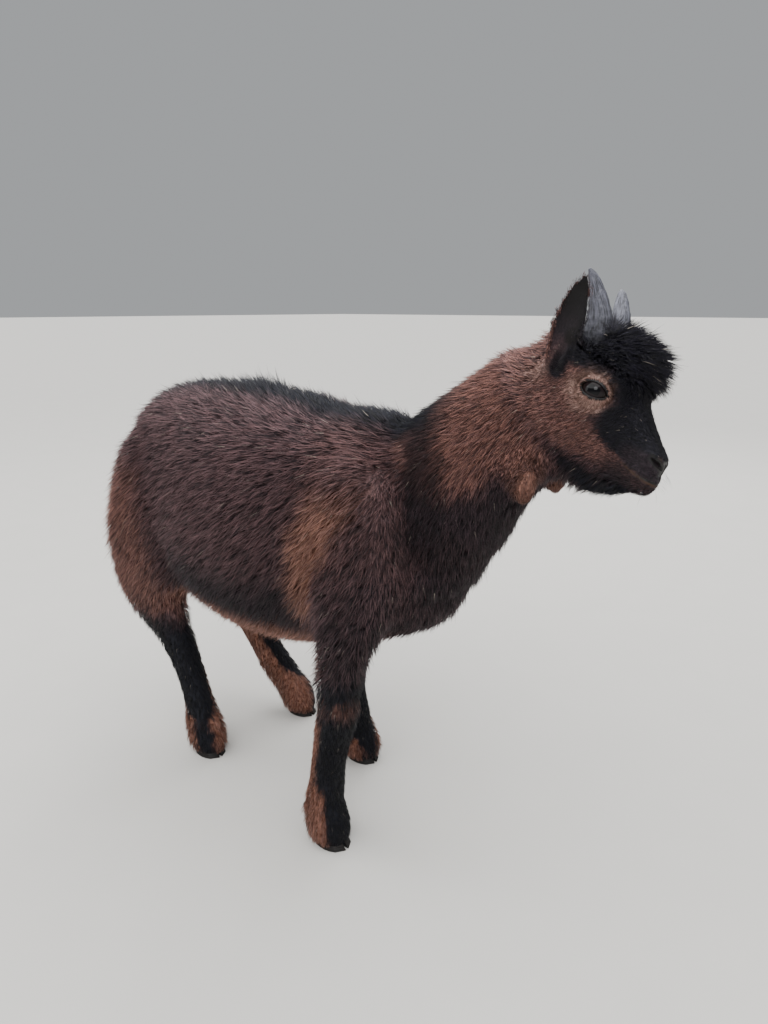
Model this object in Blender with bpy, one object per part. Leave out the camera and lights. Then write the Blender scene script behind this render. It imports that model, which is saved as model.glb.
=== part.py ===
"""A life-size still model of a young dwarf goat, standing with its head slightly turned.

Units are metres, +X runs from tail to nose, +Y to the goat's left and +Z up. The flesh is one
smooth body out to the tips of its coat, parted by thin saw cuts where the anatomy changes name.
Eyes, horns, ears, wattles, tail, hooves and dewclaws are bodies of their own, set in sockets.
"""

import math

import bmesh
import bpy
import numpy as np
from mathutils import Matrix, Vector

MM = 0.001

# Saw cuts and sockets
CUT = 0.35 * MM
SOCKET_GAP = 0.35 * MM
EAR_GAP = 0.8 * MM

# Mesh fineness of the flesh
VOXEL = 3.2 * MM
SMOOTH_PASSES = 10
FLESH_TRIANGLES = 2500

# Head: its own frame has the nose along +X, the goat's left along +Y and the forehead along +Z
HEAD_AT = Vector((0.294, 0.040, 0.3675))
HEAD_NOD = math.radians(28.0)
HEAD_TILT = math.radians(-13.0)

# Eyes
EYE_RADIUS = 11.0 * MM
EYE_CENTRE = Vector((1.6, 20.6, 5.2)) * MM

# Ears
EAR_THICK = 2.6 * MM
EAR_ROOT = Vector((-30.0, 31.0, -4.0)) * MM
EAR_TIP = Vector((-40.0, 43.0, 57.0)) * MM

# Hooves
CLAW_LENGTH = 29.0 * MM
CLAW_WIDTH = 12.0 * MM
CLAW_HEIGHT = 13.0 * MM
CLAW_SPLIT = 2.2 * MM
TOE_REACH = 19.5 * MM

# Heights of the saw cuts across the legs, above the floor
FETLOCK_CUT = 45.0 * MM
KNEE_CUT = 108.0 * MM
HOCK_CUT = 100.0 * MM

# Where the shoulders and thighs part from the trunk: a rounded block square to the body's side
# name: centre x, centre z, half length, half height, inner wall, side
LIMB_BLOCKS = {
    "fore_right_shoulder": (0.144, 0.232, 0.046, 0.076, 0.016, -1),
    "fore_left_shoulder": (0.084, 0.217, 0.068, 0.088, 0.014, 1),
    "hind_right_thigh": (-0.128, 0.224, 0.078, 0.084, 0.016, -1),
    "hind_left_thigh": (-0.128, 0.224, 0.078, 0.084, 0.016, 1),
}
BLOCK_DEPTH = 0.13

# A parted piece smaller than this is a shaving of the saw, in cubic metres
SHAVING = 5e-8

SHARP_ANGLE = math.radians(40.0)


def clear_scene():
    for item in list(bpy.data.objects):
        bpy.data.objects.remove(item, do_unlink=True)
    for mesh in list(bpy.data.meshes):
        bpy.data.meshes.remove(mesh)


def material(name, color, roughness):
    mat = bpy.data.materials.new(name)
    mat.use_nodes = True
    shader = mat.node_tree.nodes["Principled BSDF"]
    shader.inputs["Base Color"].default_value = (*color, 1.0)
    shader.inputs["Roughness"].default_value = roughness
    mat.diffuse_color = (*color, 1.0)
    return mat


def catmull(rows, per):
    """Rows of numbers, filled in along a Catmull-Rom curve with `per` steps a span."""
    rows = np.array(rows, float)
    ends = np.vstack([2 * rows[0] - rows[1], rows, 2 * rows[-1] - rows[-2]])
    out = []
    for k in range(1, len(ends) - 2):
        a, b, c, d = ends[k - 1], ends[k], ends[k + 1], ends[k + 2]
        for t in np.arange(per) / per:
            out.append(
                0.5
                * (
                    2 * b
                    + (c - a) * t
                    + (2 * a - 5 * b + 4 * c - d) * t**2
                    + (3 * b - a - 3 * c + d) * t**3
                )
            )
    out.append(rows[-1])
    return np.array(out)


def mesh_object(name, points, faces):
    mesh = bpy.data.meshes.new(name)
    mesh.from_pydata([tuple(p) for p in points], [], faces)
    mesh.update()
    obj = bpy.data.objects.new(name, mesh)
    bpy.context.scene.collection.objects.link(obj)
    work = bmesh.new()
    work.from_mesh(mesh)
    bmesh.ops.recalc_face_normals(work, faces=work.faces)
    work.to_mesh(mesh)
    work.free()
    return obj


def tube(name, rows, per=4, ring=28, power=2.2, side=(0, 1, 0)):
    """A closed body swept along stations of (x, y, z, half side, half up, half down).

    `side` is the direction of the half side. Up is square to it and to the path.
    """
    rows = catmull(rows, per)
    centres = rows[:, :3]
    along = np.gradient(centres, axis=0)
    points = []
    for row, tangent in zip(rows, along):
        t = Vector(tangent).normalized()
        s = Vector(side)
        s = (s - s.dot(t) * t).normalized()
        u = t.cross(s)
        for k in range(ring):
            angle = 2 * math.pi * k / ring
            c, d = math.cos(angle), math.sin(angle)
            x = math.copysign(abs(c) ** (2 / power), c) * max(row[3], 0.0004)
            y = math.copysign(abs(d) ** (2 / power), d)
            y *= max(row[4] if d > 0 else row[5], 0.0004)
            points.append(Vector(row[:3]) + s * x + u * y)
    faces = []
    for j in range(len(rows) - 1):
        for k in range(ring):
            m = (k + 1) % ring
            faces.append((j * ring + k, j * ring + m, (j + 1) * ring + m, (j + 1) * ring + k))
    last = (len(rows) - 1) * ring
    faces.append(tuple(reversed(range(ring))))
    faces.append(tuple(last + k for k in range(ring)))
    return mesh_object(name, points, faces)


def mirrored(rows):
    return [(r[0], -r[1], *r[2:]) for r in rows]


def scaled(rows, first=3):
    """Stations whose sizes from column `first` on are written in millimetres."""
    return [tuple(r[:first]) + tuple(v * MM for v in r[first:]) for r in rows]


def head_frame():
    nod = Matrix.Rotation(HEAD_NOD, 4, "Y")
    tilt = Matrix.Rotation(HEAD_TILT, 4, "X")
    return Matrix.Translation(HEAD_AT) @ nod @ tilt


def to_head(obj):
    obj.data.transform(head_frame())
    return obj


def ball(name, centre, radii, rings=16, segments=24):
    bm = bmesh.new()
    bmesh.ops.create_uvsphere(bm, u_segments=segments, v_segments=rings, radius=1.0)
    bmesh.ops.scale(bm, vec=radii, verts=bm.verts)
    bmesh.ops.translate(bm, vec=centre, verts=bm.verts)
    mesh = bpy.data.meshes.new(name)
    bm.to_mesh(mesh)
    bm.free()
    obj = bpy.data.objects.new(name, mesh)
    bpy.context.scene.collection.objects.link(obj)
    return obj


# ---------------------------------------------------------------- flesh


def trunk_parts():
    barrel = [
        # x, y, z, half side, half up, half down (mm)
        (-0.188, 0.0, 0.250, 12, 30, 30),
        (-0.181, 0.0, 0.250, 36, 62, 58),
        (-0.160, 0.0, 0.248, 57, 94, 78),
        (-0.122, 0.0, 0.247, 72, 110, 88),
        (-0.070, 0.0, 0.246, 80, 118, 96),
        (-0.010, 0.0, 0.243, 87, 120, 105),
        (0.045, 0.0, 0.242, 88, 117, 102),
        (0.095, 0.0, 0.243, 80, 110, 90),
        (0.140, 0.0, 0.248, 70, 106, 80),
        (0.172, 0.0, 0.252, 57, 98, 69),
        (0.194, 0.0, 0.256, 40, 70, 52),
        (0.204, 0.0, 0.258, 20, 36, 28),
    ]
    chest = [
        (0.105, 0.0, 0.232, 48, 60, 60),
        (0.148, 0.0, 0.234, 50, 60, 58),
        (0.176, 0.0, 0.240, 43, 52, 47),
        (0.197, 0.0, 0.248, 27, 32, 30),
        (0.205, 0.0, 0.251, 8, 10, 8),
    ]
    parts = [tube("barrel", scaled(barrel), ring=40), tube("chest", scaled(chest))]
    thigh = [
        (-0.105, -0.030, 0.320, 6, 10, 10),
        (-0.112, -0.040, 0.298, 28, 44, 40),
        (-0.118, -0.047, 0.265, 35, 58, 50),
        (-0.118, -0.050, 0.230, 36, 66, 63),
        (-0.120, -0.051, 0.195, 33, 66, 66),
        (-0.121, -0.050, 0.166, 28, 54, 60),
        (-0.115, -0.048, 0.142, 21, 36, 43),
        (-0.104, -0.047, 0.120, 15, 18, 20),
    ]
    shoulder = [
        (0.148, -0.024, 0.335, 6, 8, 8),
        (0.148, -0.036, 0.310, 26, 32, 32),
        (0.150, -0.045, 0.280, 30, 42, 44),
        (0.152, -0.049, 0.250, 29, 42, 46),
        (0.153, -0.053, 0.218, 27, 37, 42),
        (0.150, -0.057, 0.190, 24, 28, 33),
        (0.145, -0.058, 0.165, 20, 21, 25),
    ]
    for rows in (thigh, mirrored(thigh), shoulder):
        parts.append(tube("haunch", scaled(rows), side=(0, 1, 0)))
    far_shoulder = [
        (0.142, 0.024, 0.335, 6, 8, 8),
        (0.138, 0.036, 0.310, 26, 32, 32),
        (0.132, 0.045, 0.280, 30, 40, 44),
        (0.124, 0.048, 0.250, 29, 38, 44),
        (0.112, 0.047, 0.218, 27, 32, 40),
        (0.098, 0.044, 0.190, 24, 25, 31),
        (0.085, 0.041, 0.165, 20, 20, 24),
    ]
    parts.append(tube("shoulder", scaled(far_shoulder)))
    return parts


def neck_parts():
    neck = [
        # the neck leaves the withers, rises forward and leans to the goat's left
        (0.140, 0.000, 0.262, 55, 68, 60),
        (0.172, 0.003, 0.284, 50, 60, 58),
        (0.203, 0.010, 0.310, 43, 56, 50),
        (0.230, 0.020, 0.334, 38, 54.5, 44),
        (0.253, 0.030, 0.354, 36, 52, 43),
        (0.272, 0.036, 0.368, 34, 45, 40),
    ]
    return [tube("neck", scaled(neck))]


def head_parts():
    """Lofts of the head in its own frame, in millimetres: skull and face, jaw, forelock."""
    skull = [
        (-56, 0, 4, 20, 18, 20),
        (-46, 0, 4, 30, 28, 34),
        (-30, 0, 2, 34, 33, 42),
        (-12, 0, 0, 34, 33, 44),
        (4, 0, -3, 29, 28, 42),
        (18, 0, -6, 25, 21, 38),
        (30, 0, -9, 19.5, 15.5, 34),
        (42, 0, -13, 16, 12, 26),
        (51, 0, -17, 14.5, 9.5, 20),
        (56.5, 0, -20, 11, 7.5, 16),
        (59.5, 0, -21, 5, 4, 8),
    ]
    jaw = [
        (-34, 0, -26, 24, 20, 22),
        (-14, 0, -34, 25, 20, 24),
        (6, 0, -40, 20, 18, 21),
        (24, 0, -42, 15, 16, 17),
        (40, 0, -37, 12, 12, 12.5),
        (52, 0, -32, 9.5, 9, 9.5),
        (59, 0, -29, 5, 5, 5),
    ]
    forelock = [
        (-34, 0, 22, 20, 16, 18),
        (-22, 0, 25, 24, 20, 22),
        (-8, 0, 28, 26, 21, 24),
        (6, 0, 29, 23, 19.5, 22),
        (17, 0, 29, 18, 16, 18),
        (25.5, 0, 29, 8, 8, 9),
    ]
    parts = []
    for rows in (skull, jaw, forelock):
        rows = [tuple(v * MM for v in r) for r in rows]
        parts.append(to_head(tube("head part", rows)))
    for side in (-1, 1):
        brow = ball("brow", (3 * MM, side * 19 * MM, 12 * MM), (16 * MM, 11 * MM, 12 * MM))
        parts.append(to_head(brow))
        ear_root = ball("ear root", (-31 * MM, side * 29 * MM, 0), (12 * MM, 9 * MM, 15 * MM))
        parts.append(to_head(ear_root))
        nose_wing = ball(
            "nose wing", (52 * MM, side * 6.5 * MM, -12 * MM), (7 * MM, 6 * MM, 6.5 * MM)
        )
        parts.append(to_head(nose_wing))
    return parts


LEGS = {
    # name: stations of (x, y, z, half side, half front, half back) from the body down
    "fore_right": [
        (0.149, -0.057, 0.196, 25, 27, 31),
        (0.144, -0.058, 0.165, 20.5, 20, 23),
        (0.140, -0.058, 0.136, 17.5, 16.5, 17.5),
        (0.139, -0.058, 0.122, 17, 15.5, 16.5),
        (0.133, -0.057, 0.099, 14.5, 13, 15.5),
        (0.127, -0.056, 0.074, 13.5, 12, 15.5),
        (0.124, -0.056, 0.051, 13.5, 12.5, 16.5),
        (0.123, -0.056, 0.034, 15, 14.5, 18.5),
        (0.125, -0.056, 0.020, 16.5, 17.5, 19.5),
        (0.126, -0.056, 0.0090, 16, 18, 19),
        (0.126, -0.056, 0.0050, 14, 16.5, 17),
    ],
    "fore_left": [
        (0.097, 0.044, 0.193, 24, 25, 30),
        (0.079, 0.040, 0.162, 20.5, 19.5, 22),
        (0.066, 0.038, 0.135, 17.5, 16, 17.5),
        (0.062, 0.039, 0.121, 17, 15.5, 16.5),
        (0.056, 0.042, 0.098, 14.5, 13, 15.5),
        (0.053, 0.045, 0.074, 13.5, 12, 15.5),
        (0.053, 0.048, 0.051, 13.5, 12.5, 16.5),
        (0.055, 0.049, 0.034, 15, 14.5, 18.5),
        (0.058, 0.050, 0.020, 16.5, 17.5, 19.5),
        (0.060, 0.050, 0.0090, 16, 18, 19),
        (0.060, 0.050, 0.0050, 14, 16.5, 17),
    ],
    "hind_right": [
        (-0.117, -0.048, 0.150, 22, 36, 32),
        (-0.104, -0.047, 0.122, 16.5, 21, 21),
        (-0.092, -0.046, 0.102, 14, 16, 16.5),
        (-0.083, -0.045, 0.083, 13, 13.5, 14.5),
        (-0.074, -0.044, 0.062, 13, 12.5, 14.5),
        (-0.067, -0.044, 0.044, 13.5, 13, 18),
        (-0.062, -0.044, 0.031, 15, 14.5, 20.5),
        (-0.060, -0.044, 0.019, 16, 16.5, 20),
        (-0.059, -0.044, 0.0090, 15.5, 17, 18.5),
        (-0.059, -0.044, 0.0050, 13.5, 15.5, 16),
    ],
    "hind_left": [
        (-0.122, 0.050, 0.150, 22, 34, 32),
        (-0.116, 0.050, 0.124, 16.5, 20, 22),
        (-0.106, 0.054, 0.100, 14, 16, 22),
        (-0.092, 0.058, 0.077, 13, 13.5, 24),
        (-0.078, 0.062, 0.056, 13, 12.5, 25),
        (-0.066, 0.066, 0.040, 13.5, 13, 23),
        (-0.057, 0.068, 0.029, 15, 14.5, 19.5),
        (-0.052, 0.069, 0.019, 16, 16.5, 18.5),
        (-0.050, 0.070, 0.0090, 15.5, 17, 18),
        (-0.050, 0.070, 0.0050, 13.5, 15.5, 16),
    ],
}


def leg_parts():
    return [tube(name, scaled(rows)) for name, rows in LEGS.items()]


def join(parts, name):
    bpy.ops.object.select_all(action="DESELECT")
    for obj in parts:
        obj.select_set(True)
    bpy.context.view_layer.objects.active = parts[0]
    bpy.ops.object.join()
    whole = bpy.context.object
    whole.name = name
    return whole


def apply_modifiers(obj):
    graph = bpy.context.evaluated_depsgraph_get()
    mesh = bpy.data.meshes.new_from_object(obj.evaluated_get(graph))
    obj.modifiers.clear()
    old = obj.data
    obj.data = mesh
    bpy.data.meshes.remove(old)


def keep_largest(obj):
    """Drops every loose shell but the one with the most points: pockets left between lofts."""
    bm = bmesh.new()
    bm.from_mesh(obj.data)
    left = set(bm.verts)
    shells = []
    while left:
        stack = [left.pop()]
        shell = set(stack)
        while stack:
            for edge in stack.pop().link_edges:
                for vertex in edge.verts:
                    if vertex in left:
                        left.remove(vertex)
                        shell.add(vertex)
                        stack.append(vertex)
        shells.append(shell)
    shells.sort(key=len)
    for shell in shells[:-1]:
        bmesh.ops.delete(bm, geom=list(shell), context="VERTS")
    bm.to_mesh(obj.data)
    bm.free()


def melt(whole):
    """Fuses the overlapping lofts into one skin, smooths it and thins it to the triangle count."""
    remesh = whole.modifiers.new("fuse", "REMESH")
    remesh.mode = "VOXEL"
    remesh.voxel_size = VOXEL
    apply_modifiers(whole)
    keep_largest(whole)
    smooth = whole.modifiers.new("smooth", "SMOOTH")
    smooth.factor = 0.5
    smooth.iterations = SMOOTH_PASSES
    apply_modifiers(whole)
    count = sum(len(p.vertices) - 2 for p in whole.data.polygons)
    thin = whole.modifiers.new("thin", "DECIMATE")
    thin.ratio = FLESH_TRIANGLES / count
    apply_modifiers(whole)


# ---------------------------------------------------------------- parts set in the flesh


def eye(side, name):
    centre = Vector((EYE_CENTRE.x, side * EYE_CENTRE.y, EYE_CENTRE.z))
    return to_head(ball(name, centre, (EYE_RADIUS,) * 3, rings=7, segments=10))


def horn(side, name):
    rows = [
        (-22, 13, 20, 7.5, 10, 10),
        (-24.5, 15, 30, 7.5, 10, 10),
        (-29, 18, 41, 7, 9, 9),
        (-36, 22.5, 51, 5.6, 7, 7),
        (-43, 27.5, 58.5, 3.6, 4.4, 4.4),
        (-47, 30.5, 61.5, 1.2, 1.4, 1.4),
    ]
    rows = [(r[0] * MM, side * r[1] * MM, *(v * MM for v in r[2:])) for r in rows]
    return to_head(tube(name, rows, per=2, ring=9, power=2.0))


def ear(side, name):
    """A cupped leaf: each station is an arc that opens from a rolled root to a flat tip."""
    root = Vector((EAR_ROOT.x, side * EAR_ROOT.y, EAR_ROOT.z))
    tip = Vector((EAR_TIP.x, side * EAR_TIP.y, EAR_TIP.z))
    axis = (tip - root).normalized()
    opening = Vector((0.62, side * 0.78, 0.1))
    opening = (opening - opening.dot(axis) * axis).normalized()
    across = axis.cross(opening)
    stations = [
        # share of length, arc width, arc half angle in degrees
        (0.00, 14, 95),
        (0.14, 16, 88),
        (0.32, 20, 74),
        (0.52, 21.5, 62),
        (0.70, 18.5, 50),
        (0.86, 13, 40),
        (1.00, 3.0, 30),
    ]
    arc = 5
    outer, inner = [], []
    length = (tip - root).length
    for share, width, half in stations:
        half = math.radians(half)
        radius = width * MM / (2 * math.sin(min(half, math.pi / 2)))
        centre = root + axis * (share * length)
        for k in range(arc):
            a = -half + 2 * half * k / (arc - 1)
            radial = -math.cos(a) * opening + math.sin(a) * across
            sink = opening * (radius * 0.55)
            rim = 1.0 - 0.55 * abs(2 * k / (arc - 1) - 1) ** 2
            outer.append(centre + sink + radial * radius)
            inner.append(centre + sink + radial * (radius - EAR_THICK * rim))
    rows = len(stations)
    points = outer + inner
    shift = rows * arc
    faces = []
    for j in range(rows - 1):
        for k in range(arc - 1):
            a, b = j * arc + k, (j + 1) * arc + k
            faces.append((a, a + 1, b + 1, b))
            faces.append((shift + a + 1, shift + a, shift + b, shift + b + 1))
        for k in (0, arc - 1):
            a, b = j * arc + k, (j + 1) * arc + k
            faces.append((a, b, shift + b, shift + a))
    for j in (0, rows - 1):
        for k in range(arc - 1):
            a = j * arc + k
            faces.append((a, a + 1, shift + a + 1, shift + a))
    return to_head(mesh_object(name, points, faces))


def wattle(side, name):
    rows = [
        (0.254, 0.022 + side * 0.014, 0.336, 4, 4, 4),
        (0.259, 0.022 + side * 0.018, 0.327, 6, 6, 6),
        (0.261, 0.021 + side * 0.020, 0.316, 8, 8, 8),
        (0.260, 0.021 + side * 0.021, 0.306, 7.5, 7.5, 7.5),
        (0.259, 0.021 + side * 0.021, 0.299, 3.5, 3.5, 3.5),
    ]
    return tube(name, scaled(rows), per=1, ring=9, power=2.0)


def tail(name):
    rows = [
        (-0.150, 0.0, 0.318, 13, 11, 11),
        (-0.168, 0.0, 0.312, 15, 11, 12),
        (-0.184, 0.0, 0.294, 15, 9, 12),
        (-0.192, 0.0, 0.270, 13, 8, 11),
        (-0.192, 0.0, 0.248, 8, 6, 8),
        (-0.190, 0.0, 0.238, 3, 2.5, 3),
    ]
    return tube(name, scaled(rows), per=2, ring=9, power=2.0)


def claw(name, toe, side):
    """One hoof claw: a flat sole at floor level, a straight inner wall and a sloping toe."""
    half = 7
    outline = []
    for k in range(half):
        t = k / (half - 1)
        bulge = CLAW_WIDTH * (0.86 + 0.14 * math.sin(math.pi * t)) * (1 - t**4) ** 0.5
        if k == 0:
            bulge = CLAW_WIDTH * 0.55
        outline.append((-CLAW_LENGTH + CLAW_LENGTH * t, bulge))
    walls = [(t, 0.0) for t in (-CLAW_LENGTH * 0.12, -CLAW_LENGTH)]
    ring = outline + walls
    rings = []
    for level in (0.0, 0.5, 1.0):
        shrink = 1.0 - 0.22 * level
        lean = -0.26 * CLAW_LENGTH * level
        for x, y in ring:
            px = toe.x + lean + (x + CLAW_LENGTH * 0.5) * shrink - CLAW_LENGTH * 0.5
            py = toe.y + side * (CLAW_SPLIT / 2 + y * shrink)
            rings.append((px, py, level * CLAW_HEIGHT))
    n = len(ring)
    faces = []
    for j in range(2):
        for k in range(n):
            m = (k + 1) % n
            faces.append((j * n + k, j * n + m, (j + 1) * n + m, (j + 1) * n + k))
    faces.append(tuple(range(n)))
    faces.append(tuple(2 * n + k for k in range(n)))
    return mesh_object(name, rings, faces)


def dewclaw(name, rows, side):
    """A small blunt claw behind the fetlock, half sunk in the coat."""
    fetlock = min(rows, key=lambda r: abs(r[2] - 0.031))
    back = fetlock[0] - fetlock[5] * MM
    y = fetlock[1]
    rows = [
        (back + 11 * MM, y + side * 5.0 * MM, 0.035, 3.2, 3.2, 3.2),
        (back + 4 * MM, y + side * 6.0 * MM, 0.031, 3.6, 3.6, 3.6),
        (back - 1 * MM, y + side * 6.5 * MM, 0.026, 2.6, 2.6, 2.6),
        (back - 3 * MM, y + side * 6.5 * MM, 0.023, 1.0, 1.0, 1.0),
    ]
    return tube(name, scaled(rows), per=1, ring=6, power=2.0)


# ---------------------------------------------------------------- parting


def grown(obj, gap):
    """A cutter: the same mesh with every point moved out by `gap`."""
    mesh = obj.data.copy()
    normals = [v.normal.copy() for v in mesh.vertices]
    for vertex, normal in zip(mesh.vertices, normals):
        vertex.co += normal * gap
    cutter = bpy.data.objects.new(obj.name + " socket", mesh)
    bpy.context.scene.collection.objects.link(cutter)
    return cutter


def slab(centre, normal, reach, side):
    """A saw cut: a thin plate square to `normal`, `reach` half wide both ways."""
    n = Vector(normal).normalized()
    s = Vector(side)
    s = (s - s.dot(n) * n).normalized()
    u = n.cross(s)
    points = []
    for a in (-0.5, 0.5):
        for b, c in ((-1, -1), (1, -1), (1, 1), (-1, 1)):
            points.append(Vector(centre) + n * (a * CUT) + s * (b * reach[0]) + u * (c * reach[1]))
    faces = [(0, 1, 2, 3), (4, 5, 6, 7)]
    faces += [(k, (k + 1) % 4, 4 + (k + 1) % 4, 4 + k) for k in range(4)]
    return mesh_object("saw", points, faces)


def carve(target, cutters):
    for cutter in cutters:
        cut = target.modifiers.new("cut", "BOOLEAN")
        cut.operation = "DIFFERENCE"
        cut.solver = "EXACT"
        cut.object = cutter
        apply_modifiers(target)
        bpy.data.objects.remove(cutter, do_unlink=True)


def split_loose(obj):
    bpy.ops.object.select_all(action="DESELECT")
    obj.select_set(True)
    bpy.context.view_layer.objects.active = obj
    bpy.ops.mesh.separate(type="LOOSE")
    return list(bpy.context.selected_objects)


def volume(obj):
    bm = bmesh.new()
    bm.from_mesh(obj.data)
    size = bm.calc_volume()
    bm.free()
    return size


def centroid(obj):
    total = Vector()
    for vertex in obj.data.vertices:
        total += vertex.co
    return total / len(obj.data.vertices)


def at_level(rows, z):
    """The point of a leg's centre line at height z."""
    line = catmull([r[:3] for r in rows], 6)
    return Vector(min(line, key=lambda p: abs(p[2] - z)))


def limb_block(name):
    x, z, long, high, inner, side = LIMB_BLOCKS[name]
    ring = 20
    points = []
    for y in (inner, BLOCK_DEPTH):
        for k in range(ring):
            angle = 2 * math.pi * k / ring
            c, d = math.cos(angle), math.sin(angle)
            px = x + math.copysign(abs(c) ** 0.65, c) * long
            pz = z + math.copysign(abs(d) ** 0.65, d) * high
            points.append((px, side * y, pz))
    faces = [(k, (k + 1) % ring, ring + (k + 1) % ring, ring + k) for k in range(ring)]
    faces.append(tuple(range(ring)))
    faces.append(tuple(ring + k for k in range(ring)))
    return mesh_object(name + " block", points, faces)


def cut_out(flesh, name):
    """Takes one shoulder or thigh out of the flesh and returns it."""
    block = limb_block(name)
    limb = bpy.data.objects.new(name, flesh.data.copy())
    bpy.context.scene.collection.objects.link(limb)
    keep = limb.modifiers.new("keep", "BOOLEAN")
    keep.operation = "INTERSECT"
    keep.solver = "EXACT"
    keep.object = block
    apply_modifiers(limb)
    carve(flesh, [grown(block, CUT)])
    bpy.data.objects.remove(block, do_unlink=True)
    keep_largest(limb)
    limb.data.name = name
    return limb


def saws():
    cuts = [
        slab((0.200, 0.008, 0.303), (0.74, 0.06, 0.67), (0.075, 0.083), (0, 1, 0)),
        slab((0.2585, 0.031, 0.3555), (0.83, 0.12, 0.55), (0.055, 0.064), (0, 1, 0)),
    ]
    for name, rows in LEGS.items():
        joint, lean = (KNEE_CUT, -0.1) if name.startswith("fore") else (HOCK_CUT, 0.4)
        cuts.append(slab(at_level(rows, joint), (lean, 0, -1), (0.030, 0.038), (0, 1, 0)))
        cuts.append(slab(at_level(rows, FETLOCK_CUT), (0, 0, -1), (0.028, 0.034), (0, 1, 0)))
    return cuts


def name_of(piece):
    """Which part of the goat a parted piece is, from where its middle lies."""
    at = centroid(piece)
    legs = {}
    for name, rows in LEGS.items():
        for row in catmull([r[:3] for r in rows], 4):
            legs[name] = min(legs.get(name, 1.0), (Vector(row) - at).length)
    nearest = min(legs, key=legs.get)
    if at.z < 0.16 and legs[nearest] < 0.04:
        upper = "forearm" if nearest.startswith("fore") else "gaskin"
        segment = upper if at.z > 0.105 else "cannon" if at.z > FETLOCK_CUT else "foot"
        return f"{nearest}_{segment}"
    if at.x > 0.27:
        return "head"
    if at.x > 0.19:
        return "neck"
    return "trunk"


def round_off():
    """Shades the rounded surfaces smooth and leaves the saw cuts and soles crisp."""
    for obj in bpy.data.objects:
        for polygon in obj.data.polygons:
            polygon.use_smooth = True
        obj.data.set_sharp_from_angle(angle=SHARP_ANGLE)


def centre_on_floor():
    """Moves the goat so that the middle of its length and width stands over the origin."""
    points = [obj.matrix_world @ v.co for obj in bpy.data.objects for v in obj.data.vertices]
    middle = Vector((0, 0, 0))
    for axis in (0, 1):
        low = min(p[axis] for p in points)
        high = max(p[axis] for p in points)
        middle[axis] = (low + high) / 2
    for obj in bpy.data.objects:
        obj.data.transform(Matrix.Translation(-middle))


def build():
    clear_scene()
    coat = material("brown coat", (0.060, 0.030, 0.020), 0.9)
    dark = material("dark coat", (0.018, 0.016, 0.018), 0.9)
    horny = material("grey horn", (0.36, 0.35, 0.37), 0.7)
    hoof = material("hoof horn", (0.045, 0.038, 0.036), 0.6)
    glass = material("dark eye", (0.02, 0.014, 0.012), 0.1)
    tan = material("tan coat", (0.28, 0.10, 0.035), 0.9)

    flesh = join(trunk_parts() + neck_parts() + head_parts() + leg_parts(), "flesh")
    melt(flesh)

    fitted = []
    for side, word in ((-1, "right"), (1, "left")):
        for make, kind, mat in (
            (eye, "eye", glass),
            (horn, "horn", horny),
            (ear, "ear", coat),
            (wattle, "wattle", tan),
        ):
            obj = make(side, f"{kind}_{word}")
            obj.data.materials.append(mat)
            fitted.append(obj)
    fitted.append(tail("tail"))
    fitted[-1].data.materials.append(coat)
    for name, rows in LEGS.items():
        foot = Vector(rows[-1][:3])
        toe = Vector((foot.x + TOE_REACH, foot.y, 0))
        for side in (-1, 1):
            word = "inner" if side * foot.y < 0 else "outer"
            obj = claw(f"{name}_claw_{word}", toe, side)
            obj.data.materials.append(hoof)
            fitted.append(obj)
            obj = dewclaw(f"{name}_dewclaw_{word}", rows, side)
            obj.data.materials.append(hoof)
            fitted.append(obj)
    for obj in fitted:
        gap = EAR_GAP if obj.name.startswith("ear") else SOCKET_GAP
        carve(flesh, [grown(obj, gap)])
    limbs = [cut_out(flesh, name) for name in LIMB_BLOCKS]
    carve(flesh, saws())
    for limb in limbs:
        limb.data.materials.clear()
        limb.data.materials.append(coat)
    pieces = split_loose(flesh)
    for piece in pieces:
        if volume(piece) < SHAVING:
            bpy.data.objects.remove(piece, do_unlink=True)
            continue
        piece.name = name_of(piece)
        piece.data.name = piece.name
        low = "cannon" in piece.name or "foot" in piece.name
        piece.data.materials.clear()
        piece.data.materials.append(dark if low else coat)
    round_off()
    centre_on_floor()


build()
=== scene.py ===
"""Looks of a young dwarf goat, still and life-size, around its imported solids.

Units are metres. +X runs from tail to nose, +Y to the goat's left and +Z up. One skin covers the
flesh inside the outline of the solids, and the coat of solid tufts grows from it out to that
outline. Eyes, horns and hooves are pieces of their own. Places on the body that are worked out
point by point are in millimetres, and so are places on the head, which are in the head's frame.
"""

import math

import bmesh
import bpy
import numpy as np
from mathutils import Matrix, Vector
from mathutils.bvhtree import BVHTree


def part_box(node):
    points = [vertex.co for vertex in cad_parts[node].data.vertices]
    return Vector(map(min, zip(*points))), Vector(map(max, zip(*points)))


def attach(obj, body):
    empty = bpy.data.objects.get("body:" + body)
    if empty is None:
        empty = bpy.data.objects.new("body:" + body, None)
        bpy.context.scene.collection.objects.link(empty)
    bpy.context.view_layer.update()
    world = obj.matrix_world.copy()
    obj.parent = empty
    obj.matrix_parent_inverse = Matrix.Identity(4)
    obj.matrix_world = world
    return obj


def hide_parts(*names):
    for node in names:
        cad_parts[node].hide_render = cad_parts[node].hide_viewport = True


bl_info = {
    "name": "Young dwarf goat",
    "version": (1, 0, 0),
    "blender": (4, 5, 0),
    "location": "3D View > Sidebar > Goat",
    "description": "Skin, coat, eyes, horns and hooves of a still young goat",
    "category": "Object",
}

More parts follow.
